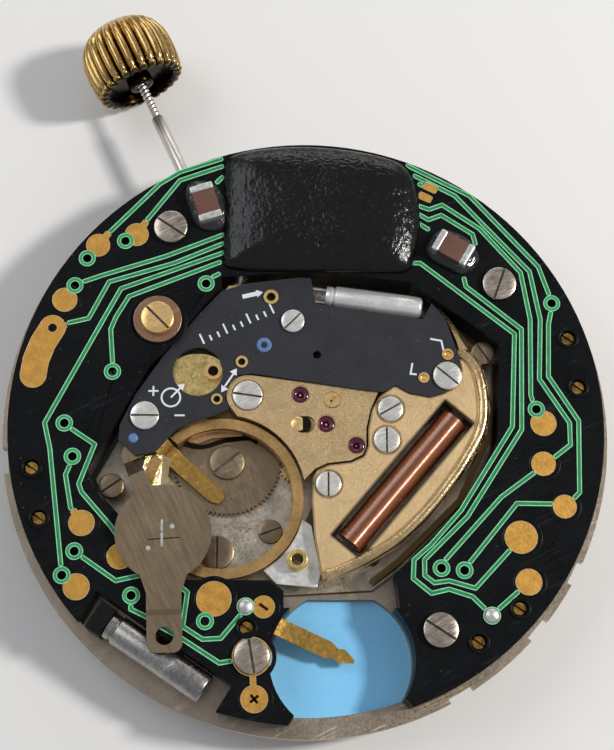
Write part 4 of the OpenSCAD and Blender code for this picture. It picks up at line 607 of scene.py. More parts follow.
def wound_coil(sizes):
    """The copper coil: fine wire laid turn beside turn, heaped in uneven ridges."""
    around = 24
    steps = sizes.coil_turns * around
    pitch = COIL_LENGTH / sizes.coil_turns
    # The wire's round back: shares of the pitch across, millimetres outward
    profile = [(-0.5, -0.007), (-0.25, -0.0015), (0.0, 0.0), (0.25, -0.0015), (0.5, -0.007)]
    row = len(profile)
    verts, faces = [], []
    for i in range(steps + 1):
        a = TAU * i / around
        x = (i / around - sizes.coil_turns / 2) * pitch
        ridge = abs(math.sin(math.pi * (x / 0.235 + 0.9 * noise.noise(Vector((x * 1.3, 0.3, 1.0))))))
        heap = noise.noise(Vector((x * 0.9, math.cos(a) * 0.3, 5.0)))
        r = COIL_RADIUS - 0.016 * (1 - ridge) ** 1.5 - 0.012 * (1 + heap)
        for across, out in profile:
            verts.append((x + across * pitch, (r + out) * math.cos(a), COIL_Z + (r + out) * math.sin(a)))
    for i in range(steps):
        for k in range(row - 1):
            faces.append([i * row + k, i * row + k + 1, (i + 1) * row + k + 1, (i + 1) * row + k])
    end = COIL_LENGTH / 2
    sleeve = turned_form([(0.4, -end), (0.6, -end), (0.66, -end + 0.05), (0.66, end - 0.05), (0.6, end),
                          (0.4, end)], 40)
    sleeve = moved(sleeve, Matrix.Translation((0, 0, COIL_Z)) @ Matrix.Rotation(math.radians(90), 4, "Y"))
    form = placed(join([(verts, faces), sleeve]), *COIL_MIDDLE, turn=COIL_TURN)
    piece = add_piece("coil_wire", form, "Coil copper", sharp=80)
    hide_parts("coil_winding")


def outline_reach(outline, middle, angle):
    """How far an outline is from its middle in a direction."""
    d = Vector((math.cos(angle), math.sin(angle)))
    best = 0.0
    for a, b in zip(outline, outline[1:] + outline[:1]):
        p, q = Vector(a) - Vector(middle), Vector(b) - Vector(middle)
        e = q - p
        cross = d.x * e.y - d.y * e.x
        if abs(cross) < 1e-9:
            continue
        t = (p.x * e.y - p.y * e.x) / cross
        u = (p.x * d.y - p.y * d.x) / cross
        if t > 0 and -1e-6 <= u <= 1 + 1e-6:
            best = max(best, t)
    return best


def mound(outline, middle, base, height, columns, rows, edge, wrinkle, seed):
    """A cast blob with a wrinkled skin, full over most of its outline. The edge sets how late it falls."""
    reach = [outline_reach(outline, middle, TAU * j / columns) for j in range(columns)]

    def point(i, j):
        t = math.sin((1 - i / (rows - 1)) * math.pi / 2)
        a = TAU * j / columns
        x, y = middle[0] + reach[j] * t * math.cos(a), middle[1] + reach[j] * t * math.sin(a)
        inner = max(0.0, 1 - t ** edge) ** 0.5
        z = base + height * inner
        if i > 0:
            # Broad, middling and fine wrinkles
            rough = sum(share * noise.noise(Vector((x * scale, y * scale, seed + shift)))
                        for scale, shift, share in ((0.6, 0, 0.9), (2.2, 3, 0.35), (7.5, 7, 0.7)))
            z += rough * wrinkle * min(1.0, inner * 1.6)
        return (x, y, max(z, base))

    return rings(rows, columns, point)


def glob_top(sizes):
    """The black glob top over the chip, a glossy pillow with a wrinkled skin."""
    outline = softened(GLOB_OUTLINE, 3, closed=True)
    form = mound(outline, GLOB_MIDDLE, BOARD_TOP, sizes.glob_height / MM, columns=260, rows=110, edge=3.3,
                 wrinkle=0.04, seed=2.0)
    piece = add_piece("glob_top", form, "Epoxy black", sharp=60)
    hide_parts("chip_glob_top")


def rounded_box(w, l, h, r):
    """A box with all edges rounded, from stacked rounded outlines."""
    steps = 4

    def ring(inset, z):
        points = []
        for quarter, (sx, sy) in enumerate(((1, 1), (-1, 1), (-1, -1), (1, -1))):
            for k in range(steps + 1):
                a = math.radians(quarter * 90 + k * 90 / steps)
                points.append((sx * (w / 2 - r) + (r - inset) * math.cos(a),
                               sy * (l / 2 - r) + (r - inset) * math.sin(a), z))
        return points

    angles = [math.pi / 2 * k / steps for k in range(steps + 1)]
    return lofted([ring(r * (1 - math.sin(a)), r * (1 - math.cos(a))) for a in angles]
                  + [ring(r * (1 - math.cos(a)), h - r + r * math.sin(a)) for a in angles])


def epoxy_pool(index):
    """The uneven pool of clear epoxy round a capacitor."""
    rng = random.Random(11 + index)
    corners = 14
    rim = []
    for k in range(corners):
        a = TAU * k / corners
        w = 1.42 + rng.uniform(-0.14, 0.12)
        l = 0.98 + rng.uniform(-0.12, 0.12)
        squared = 1 / (abs(math.cos(a)) ** 3 + abs(math.sin(a)) ** 3) ** (1 / 3)
        rim.append((w * squared * math.cos(a), l * squared * math.sin(a)))
    return mound(softened(rim, 2, closed=True), (0, 0), 0.0, 0.42, columns=72, rows=26, edge=3.0,
                 wrinkle=0.09, seed=5.0 + index)


def capacitors():
    """The two chip capacitors: ceramic body, tinned ends and the clear epoxy round them."""
    bodies, ends, pools = [], [], []
    for index, ((x, y), turn) in enumerate(CAPACITORS):
        spot = (x, y, BOARD_TOP, turn)
        bodies.append(placed(placed(rounded_box(1.3, 1.16, 0.76, 0.05), 0, 0, 0.02), *spot))
        for side in (-1, 1):
            ends.append(placed(placed(rounded_box(0.38, 1.2, 0.8, 0.09), side * 0.77, 0), *spot))
        pools.append(placed(epoxy_pool(index), *spot))
    piece = add_piece("capacitor_ceramics", join(bodies), "Capacitor ceramic")
    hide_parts("capacitor_bodies")
    piece = add_piece("capacitor_ends", join(ends), "Tinned end")
    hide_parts("capacitor_terminals")
    piece = add_piece("capacitor_pools", join(pools), "Epoxy clear", sharp=60)
    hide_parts("capacitor_epoxy")


def crystal_can(start, end, r):
    """A drawn can with a crimped root and a rounded far end."""
    line = Vector(end) - Vector(start)
    length = line.length
    profile = [(r * 0.5, 0.02), (r * 0.86, 0.0), (r * 0.9, 0.03), (r * 0.9, 0.3), (r * 0.83, 0.34),
               (r * 0.83, 0.4), (r * 0.95, 0.46), (r, 0.54), (r, length - CAN_ROUND)]
    for k in range(1, 6):
        a = math.pi / 2 * k / 5
        profile.append((r + CAN_ROUND * (math.cos(a) - 1), length + CAN_ROUND * (math.sin(a) - 1)))
    profile.append((r * 0.3, length + 0.004))
    stand = Matrix.Translation(start) @ line.to_track_quat("Z", "Y").to_matrix().to_4x4()
    return moved(turned_form(profile, 56), stand)


def crystals():
    """Both crystal cans."""
    for name, node, start, end, r, material in (
            ("digital_can", "digital_crystal", (-9.35, -9.75, 3.7), (-4.75, -12.79, 3.7), 0.73, "Worn can"),
            ("hand_can", "analog_crystal", (0.95, 6.68, 3.55), (5.75, 6.07, 3.55), 0.59, "Crystal can")):
        piece = add_piece(name, crystal_can(start, end, r), material, sharp=40)
        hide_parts(node)


def crown(sizes):
    """The fluted crown: rounded ribs that end in beads at the inner rim, and a hollow round its post."""
    around = sizes.crown_ribs * 12
    # The hollow: radius and distance from the inner end, in millimetres
    hollow = [(0.255, 2.0), (0.255, 0.04), (0.3, 0.0), (0.6, 0.0), (0.65, 0.05), (0.66, 0.48), (1.72, 0.5),
              (1.76, 0.3), (1.8, 0.06), (1.88, 0.0)]
    # The outside: shares of the length and of the radius
    shape = [(0.0, 0.8), (0.003, 0.86), (0.012, 0.91), (0.028, 0.945), (0.045, 0.955), (0.062, 0.945),
             (0.078, 0.935), (0.1, 0.955), (0.16, 0.982), (0.28, 0.998), (0.42, 1.0), (0.55, 0.99),
             (0.65, 0.965), (0.73, 0.925), (0.8, 0.87), (0.86, 0.8), (0.91, 0.71), (0.95, 0.6), (0.98, 0.48),
             (0.995, 0.35), (1.0, 0.2)]

    def ring(x, r, depth):
        points = []
        for j in range(around):
            a = TAU * j / around
            rib = abs(math.cos(a * sizes.crown_ribs / 2)) ** 0.55
            far = r * (1 - depth * (1 - rib))
            points.append((CROWN_START + x, far * math.cos(a), STEM_Z + far * math.sin(a)))
        return points

    rows = [ring(x, r, 0.0) for r, x in hollow]
    for x, share in shape:
        # The grooves run out towards the flat outer end
        depth = 0.15 * min(1.0, max(0.0, (1 - x) / 0.12))
        rows.append(ring(x * CROWN_LENGTH, share * CROWN_RADIUS, depth))
    piece = add_piece("fluted_crown", lofted(rows), "Crown gold", "winding_stem", ROW, sharp=50)
    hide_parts("crown")


def stem():
    """The winding stem, with the lever's groove and the rolled thread that the crown sits on."""
    around = 32
    # Distance along the stem, radius and depth of the thread
    rows = [(x, r, 0.0) for x, r in (
        (3.0, 0.22), (3.1, 0.31), (3.2, 0.32), (6.08, 0.32), (6.1, 0.17), (6.4, 0.17), (6.42, 0.32),
        (10, 0.32), (14, 0.32), (18.22, 0.32), (18.3, 0.24))]
    step = THREAD_PITCH / 10
    rows += [(THREAD_START + i * step, 0.245, 0.05) for i in range(int((THREAD_END - THREAD_START) / step))]
    rows.append((THREAD_END + 0.05, 0.18, 0.0))

    def point(i, j):
        x, r, cut = rows[i]
        a = TAU * j / around
        turn = (x / THREAD_PITCH - j / around) % 1.0
        r = r - cut * (1 - abs(2 * turn - 1)) * 1.3
        return (x, r * math.cos(a), STEM_Z + r * math.sin(a))

    form = rings(len(rows), around, point)
    piece = add_piece("threaded_stem", form, "Stem steel", "winding_stem", ROW, sharp=45)
    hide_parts("stem")


def screw_head(x, y, z, r, h, slot, shank_r, shank_low):
    """A turned screw with a chamfered head, the cutter of its milled slot and a dark strip of painted shade at
    its bottom.
    """
    c = min(0.06, h * 0.3)
    profile = [(shank_r, shank_low), (shank_r, z), (r * 0.97, z), (r, z + 0.03), (r, z + h - c),
               (r - c * 0.35, z + h - c * 0.3), (r - c, z + h), (r * 0.5, z + h + 0.004),
               (0.01, z + h + 0.006)]
    width, bottom = 0.12 * r + 0.02, z + h * 0.55
    cutter = block(x, y, bottom, r * 3, width, h * 2, slot)
    # A dark strip of painted shade on the slot's floor
    strip = block(x, y, bottom, r * 1.9, width * 0.96, 0.012, slot)
    return placed(turned_form(profile, 56), x, y), cutter, strip


def screws():
    """Every slotted screw, one piece for each kind."""
    # Each kind has its shank's radius and foot, and for every screw its plan place, the height of the
    # head's underside, the head's radius and height, and the slot's angle
    kinds = {
        "pcb_screws": ("Worn steel", "screw_steel", (0.35, 1.9), [
            (-6.8, 9.95, 4.4, 0.84, 0.3, -34), (9.55, 7.1, 4.4, 0.84, 0.3, 70),
            (6.3, -10.05, 4.4, 0.84, 0.3, -33), (-2.6, -11.3, 4.45, 0.84, 0.3, 100)]),
        "case_clamp_screw": ("Screw gold", "gold_plate", (0.35, 1.9), [(-7.35, 5.15, 4.62, 0.81, 0.32, -45)]),
        "movement_screws": ("Dark steel", "wheel_steel", (0.25, 1.8), [
            (-9.5, -2.95, 3.0, 0.62, 0.35, 35), (8.75, 3.75, 3.48, 0.6, 0.3, -55),
            (-4.35, -6.05, 2.2, 0.84, 0.22, 90), (-1.75, -5.0, 2.2, 0.6, 0.22, 20)]),
        "setting_wheel_screw": ("Dark steel", "wheel_steel", (0.25, 1.75), [
            (-3.9, -1.6, 2.52, 0.86, 0.14, 40)]),
        "bridge_screws": ("Screw steel", "screw_steel", (0.3, 2.25), [
            (-2.9, 1.45, 3.78, 0.74, 0.32, -8), (1.05, -2.95, 3.78, 0.62, 0.32, 90),
            (4.1, 0.8, 3.78, 0.62, 0.32, 30), (3.9, -0.75, 3.78, 0.64, 0.32, 90)]),
        "board_screws": ("Screw steel", "screw_steel", (0.25, 2.25), [
            (-7.9, 0.35, 4.15, 0.7, 0.16, 0), (-0.7, 5.2, 4.15, 0.58, 0.16, 45),
            (6.9, 2.45, 4.15, 0.7, 0.16, -40)]),
    }
    for node, (material, slot, shank, places) in kinds.items():
        forms, cutters, slot_shades = zip(*(screw_head(*place, *shank) for place in places))
        form = boolean_cut(join(forms), join(cutters))
        piece = add_piece("turned_" + node, form, material, sharp=30, bevel=0.012)
        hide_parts(node)
        add_piece("slot_shade_of_" + node, join(slot_shades), "Painted slot shade")


def jewels():
    """Ruby bearings with a polished dome and an oil sink round the pivot."""
    profile = [(0.09, 3.56), (0.41, 3.56), (0.41, 3.86), (0.39, 3.9), (0.33, 3.925), (0.25, 3.92),
               (0.19, 3.89), (0.15, 3.84), (0.12, 3.76), (0.09, 3.7), (0.09, 3.56)]
    cups = [placed(turned_form(profile, 40), *place) for place in JEWELS]
    piece = add_piece("domed_jewels", join(cups), "Ruby", sharp=70)
    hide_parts("bridge_jewels")


def blade(stations):
    """A bent strip along X: stations hold distance, height and width."""
    line = [Vector((s, z)) for s, z, _ in stations]
    rows = []
    for k, (s, z, w) in enumerate(stations):
        ahead = heading(line, k) * BLADE_THICKNESS / 2
        rows.append([(s - ahead.y * e, side * w / 2, z + ahead.x * e) for e, side in
                     ((1, -1), (1, 1), (-1, 1), (-1, -1))])
    return lofted(rows)


def between(table, s):
    """The value at a distance, from a table of distances and values."""
    for (a, low), (b, high) in zip(table, table[1:]):
        if a <= s <= b:
            return low + (high - low) * (s - a) / (b - a)
    return table[-1][1]


def bent_blade(path, widths):
    """A blade along a path with rounded bends, with the widths of a table as further stations."""
    path = softened(path, 3)
    stations = [(s, z, between(widths, s)) for s, z in path]
    stations += [(a, between(path, a), w) for a, w in widths if 0 < a < path[-1][0]]
    return blade(sorted(stations))


def contact_leaf():
    """The folded leaf beside the hand movement's cell, under the bridle."""
    # Flat beside the cell and rising towards the rim, round a middle point
    folds = [(x, y, 3.34 + 0.36 * max(0, -7.0 - x)) for x, y in CONTACT_LEAF + [(-7.05, -2.3)]]
    count = len(CONTACT_LEAF)
    under = [(x, y, z - 0.05) for x, y, z in folds]
    faces = [[k, (k + 1) % count, count] for k in range(count)]
    faces += [[i + count + 1 for i in f][::-1] for f in faces]
    faces += [[k, k + count + 1, (k + 1) % count + count + 1, (k + 1) % count] for k in range(count)]
    add_piece("contact_leaf", (folds + under, faces), "Foil gold", sharp=10)


def contact_blades(sizes):
    """The gold contact blades of both cells."""
    w = sizes.blade_width / MM
    path = [(0, 3.82), (0.75, 3.82), (1.25, 3.3), (4.2, 2.9), (5.35, 2.75)]
    widths = [(0, w * 0.86), (0.6, w * 0.9), (1.3, w), (3.95, w), (4.25, w * 0.8), (4.35, w * 0.6),
              (4.45, w * 0.62), (4.7, w * 0.86), (5.05, w * 0.5), (5.35, 0.14)]
    rib = block(2.9, 0, 3.13, 0.1, w * 0.9, 0.06)
    form = placed(join([bent_blade(path, widths), rib]), -2.6, -9.2, turn=-24)
    piece = add_piece("digital_blade", form, "Contact gold", bevel=0.02)
    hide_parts("digital_battery_contact")

    contact_leaf()
    path = [(0, 3.55), (0.45, 3.55), (1.05, 2.78), (3.9, 2.64), (4.25, 2.62)]
    widths = [(0, w), (3.7, w), (4.0, w * 0.85), (4.25, w * 0.45)]
    flange = blade([(1.2, 2.8, 0.07), (2, 2.76, 0.07), (3.7, 2.68, 0.07)])
    flanges = [placed(flange, 0, side * (w / 2 - 0.03)) for side in (-1, 1)]
    foot = placed(turned_form([(0.3, PLATE_TOP), (0.3, 3.5)], 32), 0.1, 0)
    form = placed(join([bent_blade(path, widths), foot, *flanges]), -7.35, -0.75, turn=-41)
    piece = add_piece("negative_blade", form, "Contact gold", bevel=0.02)
    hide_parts("negative_contact")


def lacquer_ring(inner, outer, height):
    """A low rounded ring on a board."""
    half, steps = (outer - inner) / 2, 8
    angles = [math.pi * k / steps for k in range(steps + 1)]
    section = [(inner + half + half * math.cos(a), height * math.sin(a)) for a in angles]
    return turned_form(section, closed=True)


def board_details():
    """Raised lacquer round pads and pin holes, the signed pads' slots, solder, blue marks and painted
    highlights on edges.
    """
    rims = [placed(lacquer_ring(r + 0.05, r + 0.26, 0.028), *place, BOARD_TOP) for place, r in MASK_RIMS]
    rims += [placed(lacquer_ring(0.36, 0.56, 0.08), *place, BOARD_TOP) for place in PIN_HOLES]
    add_piece("lacquer_rims", join(rims), "Board lacquer", sharp=60)

    # The pads' slots are dark strips of painted shade laid on the pads, not cuts
    slots = [block(x, y, BOARD_TOP + 0.046, 0.5, width, 0.012, turn) for x, y, width, turn in
             ((-2.05, -8.97, 0.14, -35), (-2.46, -13.26, 0.13, 40), (-2.46, -13.26, 0.13, -50))]
    add_piece("pad_slot_shade", join(slots), "Slot shadow")

    dome = turned_form([(0.4, 0.0), (0.37, 0.09), (0.26, 0.16), (0.1, 0.2), (0.01, 0.205)], 28)
    solder = [placed(dome, x, y, BOARD_TOP) for x, y in ((8.75, -9.35), (-2.9, -8.95))]
    add_piece("solder_domes", join(solder), "Tinned end", sharp=60)

    ring = placed(lacquer_ring(0.16, 0.37, 0.03), -2.11, 3.98, ANALOG_TOP)
    dot = placed(turned_form([(0.24, 0.0), (0.22, 0.03), (0.1, 0.045), (0.01, 0.05)], 24), -8.43, -0.76,
                 ANALOG_TOP)
    add_piece("blue_marks", join([ring, dot]), "Print blue", sharp=60)
    painted_cover_shadow()
    rim_bead()
    pivot_ends()
    painted_hollow_shade()
    # Bands of painted highlight along the edges of tracks, vias, pads and the coil plate
    painted_edge_highlights("track_edge_highlights", "circuit_tracks", 0.045, "Lacquer edge highlight")
    painted_edge_highlights("via_edge_highlights", "via_rings", 0.04, "Lacquer edge highlight")
    painted_edge_highlights("pad_edge_highlights", "contact_pads", 0.035, "Plating edge highlight")
    painted_edge_highlights("plate_edge_highlights", "coil_plate", 0.07, "Rim brass")


def painted_cover_shadow():
    """A dark strip of painted shadow along the edge of the plate over the setting wheel, laid on the wheel."""
    line = [Vector((*p, 2.485)) for p in softened(
        [(-6.66, -0.28), (-5.99, -0.7), (-5.4, -0.84), (-4.85, -0.78), (-4.14, -0.5), (-3.37, -0.4),
         (-2.72, -0.34), (-2.4, -0.6)], 2)]
    lift = Vector((0, 0, 0.03))
    rows = []
    for k, p in enumerate(line):
        across = heading(line, k).cross(UP) * 0.11
        rows.append([p - across, p + across, p + across + lift, p - across + lift])
    add_piece("painted_cover_shadow", lofted(rows), "Slot shadow")


def bridle_marks():
    """The bridle's engraved marks: two short lines, a fine one across them as a dark strip of painted shade,
    and two dimples.
    """
    x, y = BRIDLE_DISC
    z = BRIDLE_TOP - 0.004
    lines = [block(x - 0.05, y - 0.32, z, 0.11, 0.72, 0.012), block(x - 0.06, y + 0.3, z, 0.1, 0.62, 0.012)]
    dimple = turned_form([(0.12, 0.0), (0.11, 0.012), (0.01, 0.016)], 24)
    dimples = [placed(dimple, *place, z) for place in ((-6.41, -5.21), (-7.52, -6.27))]
    add_piece("bridle_bright_marks", join(lines + dimples), "Tinned end", "battery_bridle")
    # The fine line is a dark strip of painted shade for its groove
    fine = block(x + 0.05, y - 0.3, z, 1.5, 0.05, 0.01, 4)
    add_piece("bridle_line_shade", fine, "Slot shadow", "battery_bridle")


def painted_edge_highlights(name, node_name, width, material):
    """Thin bands of painted highlight along the outlines of a node's top faces."""
    bpy.context.view_layer.update()
    form = bmesh.new()
    form.from_mesh(NODES[node_name].data)
    form.transform(NODES[node_name].matrix_world)
    bmesh.ops.remove_doubles(form, verts=form.verts, dist=1e-6)
    form.normal_update()
    lift = UP * 0.004 * MM
    parts = []
    for edge in form.edges:
        loops = [loop for loop in edge.link_loops if loop.face.normal.z > 0.9]
        if len(loops) != 1:
            continue
        a, b = loops[0].vert.co.copy(), loops[0].link_loop_next.vert.co.copy()
        inward = loops[0].face.normal.cross(b - a).normalized() * width * MM
        flat = [a, b, b + inward, a + inward]
        parts.append((flat + [v + lift for v in flat], BOX_FACES))
    form.free()
    # These points are in place and in metres already
    add_piece(name, join(parts), material, matrix=Matrix())


def rim_bead():
    """The coil plate's raised rim, a rolled bead, and the thin leaf that it ends in beside the board."""
    line = [Vector((*p, BRIDGE_TOP - 0.02)) for p in softened(COIL_RIM, 2)]
    around = 16
    rows = []
    for k, p in enumerate(line):
        across = heading(line, k).cross(UP)
        row = []
        for j in range(around):
            a = math.pi * j / (around - 1)
            dent = 0.02 * noise.noise(Vector((k * 0.7, j * 0.25, 3.0)))
            row.append(p + across * math.cos(a) * 0.265 + UP * math.sin(a) ** 0.75 * (0.25 + dent))
        rows.append(row)
    bead = lofted(rows)
    rows = []
    for k, (outer, inner) in enumerate(RIM_LEAF):
        high = BRIDGE_TOP + (0.16, 0.08)[k % 2]
        low = BRIDGE_TOP + (-0.04, 0.06)[k % 2]
        rows.append([(*inner, high), (*outer, low), (*outer, low - 0.05), (*inner, high - 0.05)])
    add_piece("rim_bead", join([bead, lofted(rows)]), "Rim brass", sharp=50)


def pivot_ends():
    """What shows in the bridge's two open holes: a slotted button and half a one, and two pins' ends."""
    button = placed(turned_form([(0.41, 3.9), (0.41, 4.0), (0.36, 4.04), (0.01, 4.05)], 40), 1.23, 1.27)
    half = placed(turned_form([(0.36, 3.9), (0.36, 4.0), (0.3, 4.03), (0.01, 4.04)], 40), -0.42, 0.02)
    slot = block(1.23, 1.2, 3.95, 0.12, 0.5, 0.2, -35)
    buttons = boolean_cut(join([button, half]), join([slot, block(0.1, 0, 3.8, 0.6, 1.2, 0.5)]))
    cap = turned_form([(0.15, 4.0), (0.15, 4.17), (0.1, 4.21), (0.01, 4.22)], 24)
    caps = [placed(cap, x, y) for x, y in ((5.75, 2.35), (6.95, 3.55))]
    add_piece("pivot_ends", join([buttons, *caps]), "Screw gold", sharp=30)


def painted_hollow_shade():
    """Painted shade: dark discs in the pins' bores, a dark plug over an open bridge hole, a crescent at the
    view hole.
    """
    # Dark discs of painted shade on the floors of the pins' bores
    shade_pieces = [placed(turned_form([(r, z - 0.008), (r, z), (0.01, z)], 28), *place)
               for place, r, z in BOARD_PINS]
    # A dark plug of painted shade over an open hole of the bridge, standing just proud of its top
    shade_pieces.append(placed(turned_form([(0.42, 3.86), (0.42, 4.003), (0.01, 4.003)], 32), -0.2, 0))
    # A crescent of painted shade along the edge of the board's view hole
    middle, lift = Vector((*VIEW_HOLE, 3.96)), Vector((0, 0, 0.01))
    steps = 20
    rows = []
    for k in range(steps + 1):
        a = math.radians(35 + 110 * k / steps)
        out = Vector((math.cos(a), math.sin(a), 0))
        thick = 0.24 * math.sin(math.pi * k / steps) + 0.01
        outer, inner = middle + out * VIEW_HOLE_RADIUS, middle + out * (VIEW_HOLE_RADIUS - thick)
        rows.append([outer, inner, inner + lift, outer + lift])
    shade_pieces.append(lofted(rows))
    add_piece("painted_hollow_shade", join(shade_pieces), "Slot shadow")


def dress_nodes(sizes):
    """Finishes and broken edges for the nodes that keep their own shape."""
    for name, (material, width) in NODE_FINISHES.items():
        node = NODES[name]
        if not node.material_slots:
            node.data.materials.append(None)
        for slot in node.material_slots:
            slot.link = "OBJECT"
            slot.material = MADE[material]
        if width and sizes.edge_scale:
            weld = node.modifiers.new("Weld", "WELD")
            weld.merge_threshold = 1e-6
            break_edges(node, width * sizes.edge_scale)


# Stage

def pale_floor(scene):
    """The pale sheet that the movement lies on."""
    mesh = bpy.data.meshes.new("floor")
    corners = ((-1, -1), (1, -1), (1, 1), (-1, 1))
    mesh.from_pydata([(x * FLOOR_REACH, y * FLOOR_REACH, FLOOR_Z) for x, y in corners], [], [[0, 1, 2, 3]])
    floor = bpy.data.objects.new("floor", mesh)
    scene.collection.objects.link(floor)
    material = bpy.data.materials.new("Pale floor")
    material.use_nodes = True
    shader = material.node_tree.nodes["Principled BSDF"]
    shader.inputs["Base Color"].default_value = (0.8, 0.79, 0.77, 1)
    shader.inputs["Roughness"].default_value = 0.8
    shader.inputs["Specular IOR Level"].default_value = 0.2
    mesh.materials.append(material)


def lights(scene, turn, strength):
    """Soft light from all round and three lamps."""
    world = bpy.data.worlds.new("Soft room")
    scene.world = world
    world.use_nodes = True
    room = world.node_tree.nodes["Background"]
    room.inputs["Color"].default_value = (0.9, 0.93, 1.0, 1)
    room.inputs["Strength"].default_value = strength
    # Each lamp's place and size in metres, its power in watts and its colour
    for name, place, size, power, tone in (
            ("Key", (0.2, 0.02, 0.2), (0.035, 0.035), 0.56, (1.0, 0.97, 0.93)),
            ("Fill", (-0.16, 0.1, 0.22), (0.16, 0.16), 0.16, (0.93, 0.96, 1.0)),
            ("Rim", (0.02, 0.24, 0.1), (0.2, 0.06), 0.1, (1.0, 0.98, 0.95))):
        lamp = bpy.data.lights.new(name, "AREA")
        lamp.shape = "RECTANGLE"
        lamp.size, lamp.size_y = size
        lamp.energy = power
        lamp.color = tone
        item = bpy.data.objects.new(name, lamp)
        scene.collection.objects.link(item)
        at = turn @ Vector(place)
        aim = (turn @ Vector((0, 0, 0.003))) - at
        item.location = at
        item.rotation_euler = aim.to_track_quat("-Z", "Y").to_euler()


def photo_camera(scene, turn):
    """The camera at the photo's angle."""
    tilt, yaw = math.radians(CAMERA_TILT), math.radians(CAMERA_YAW)
    back = Vector((math.sin(tilt) * math.sin(yaw), -math.sin(tilt) * math.cos(yaw), math.cos(tilt)))
    right = Vector((0, 1, 0)).cross(back).normalized()
    up = back.cross(right)
    data = bpy.data.cameras.new("Camera")
    data.sensor_fit = "VERTICAL"
    data.sensor_height = SENSOR_HEIGHT
    data.lens = SENSOR_HEIGHT * FOCAL_PIXELS / PICTURE_PIXELS
    data.clip_start = 0.001
    camera = bpy.data.objects.new("Camera", data)
    scene.collection.objects.link(camera)
    pose = Matrix((right, up, back)).transposed().to_4x4()
    pose.translation = (Vector(CAMERA_AIM) + back * CAMERA_DISTANCE) * MM
    camera.matrix_world = turn @ pose
    scene.camera = camera


def stage(sizes):
    """Pale floor, soft lamps and the camera at the photo's angle."""
    scene = bpy.context.scene
    scene.view_settings.view_transform = "Standard"
    turn = LAYOUT.to_quaternion().to_matrix().to_4x4()
    pale_floor(scene)
    lights(scene, turn, sizes.room_light)
    photo_camera(scene, turn)


# The add-on's own parts

def colour(name, value):
    """A base colour on the panel."""
    return FloatVectorProperty(name=name, description=f"Base colour of the {name.lower()}", subtype="COLOR",
                               size=3, min=0, max=1, default=value)


class MovementColours(bpy.types.PropertyGroup):
    """Base colours of the finishes."""
    board: colour("Ring board", (0.0055, 0.006, 0.0065))
    hand_board: colour("Hand movement's board", (0.03, 0.031, 0.036))
    track: colour("Circuit tracks", (0.03, 0.25, 0.09))
    # Colour of the painted highlight along the tracks' edges
    edge: colour("Painted highlight on track edges", (0.3, 0.74, 0.42))
    pad: colour("Contact pads", (0.64, 0.34, 0.07))
    capacitor: colour("Capacitor bodies", (0.12, 0.05, 0.03))
    dark_steel: colour("Bridle and setting wheel", (0.35, 0.26, 0.165))
    contact: colour("Contact blades", (0.7, 0.41, 0.1))
    ring: colour("Battery ring", (0.82, 0.5, 0.19))
    bridge: colour("Bridges", (0.76, 0.54, 0.28))
    plate: colour("Keyless plate", (0.9, 0.63, 0.24))
    wheel: colour("Train wheels", (0.85, 0.65, 0.28))
    base: colour("Base ring", (0.46, 0.38, 0.29))
    ruby: colour("Jewels", (0.08, 0.002, 0.03))
    copper: colour("Coil wire", (0.33, 0.09, 0.016))
    washer: colour("Clamp washer", (0.4, 0.23, 0.14))
    crown: colour("Crown", (0.62, 0.41, 0.15))
    film: colour("Insulating film", (0.24, 0.62, 1.0))


class MovementSizes(bpy.types.PropertyGroup):
    """Sizes of the pieces and strength of the light."""
    coil_turns: IntProperty(name="Coil turns", description="Turns of wire that show on the coil", default=130,
                            min=40, max=200)
    crown_ribs: IntProperty(name="Crown ribs", description="Ribs round the crown", default=26, min=12, max=40)
    glob_height: FloatProperty(name="Glob height", description="Height of the glob top over the board",
                               default=0.86 * MM, min=0.0005, max=0.001, subtype="DISTANCE", unit="LENGTH",
                               precision=5)
    blade_width: FloatProperty(name="Blade width", description="Width of the gold contact blades",
                               default=0.85 * MM, min=0.0005, max=0.001, subtype="DISTANCE", unit="LENGTH",
                               precision=5)
    edge_scale: FloatProperty(name="Edge scale", description="How far sharp edges are broken, as a share",
                              default=1.0, min=0.0, max=2.0, subtype="FACTOR")
    room_light: FloatProperty(name="Room light", description="Strength of the light from all round",
                              default=0.36, min=0.0, max=2.0)


class BuildFinishes(bpy.types.Operator):
    """Make every finish from the panel's colours"""
    bl_idname = "movement.finishes"
    bl_label = "Finishes"

    def execute(self, context):
        make_finishes(context.scene.movement_colours)
        return {"FINISHED"}


class DressNodes(bpy.types.Operator):
    """Give the carried-over parts their finish and broken edges"""
    bl_idname = "movement.dress"
    bl_label = "Plates, boards and wheels"

    def execute(self, context):
        dress_nodes(context.scene.movement_sizes)
        return {"FINISHED"}


class BuildCoil(bpy.types.Operator):
    """Wind the motor's copper coil"""
    bl_idname = "movement.coil"
    bl_label = "Coil"

    def execute(self, context):
        wound_coil(context.scene.movement_sizes)
        return {"FINISHED"}


class BuildGlobTop(bpy.types.Operator):
    """Cast the black glob top over the chip"""
    bl_idname = "movement.glob_top"
    bl_label = "Glob top"

    def execute(self, context):
        glob_top(context.scene.movement_sizes)
        return {"FINISHED"}


class BuildCapacitors(bpy.types.Operator):
    """Build the chip capacitors and the epoxy round them"""
    bl_idname = "movement.capacitors"
    bl_label = "Capacitors"

    def execute(self, context):
        capacitors()
        return {"FINISHED"}


class BuildCrystals(bpy.types.Operator):
    """Draw both crystal cans"""
    bl_idname = "movement.crystals"
    bl_label = "Crystal cans"

    def execute(self, context):
        crystals()
        return {"FINISHED"}


class BuildCrown(bpy.types.Operator):
    """Turn the fluted crown and the threaded stem"""
    bl_idname = "movement.crown"
    bl_label = "Crown and stem"

    def execute(self, context):
        crown(context.scene.movement_sizes)
        stem()
        return {"FINISHED"}


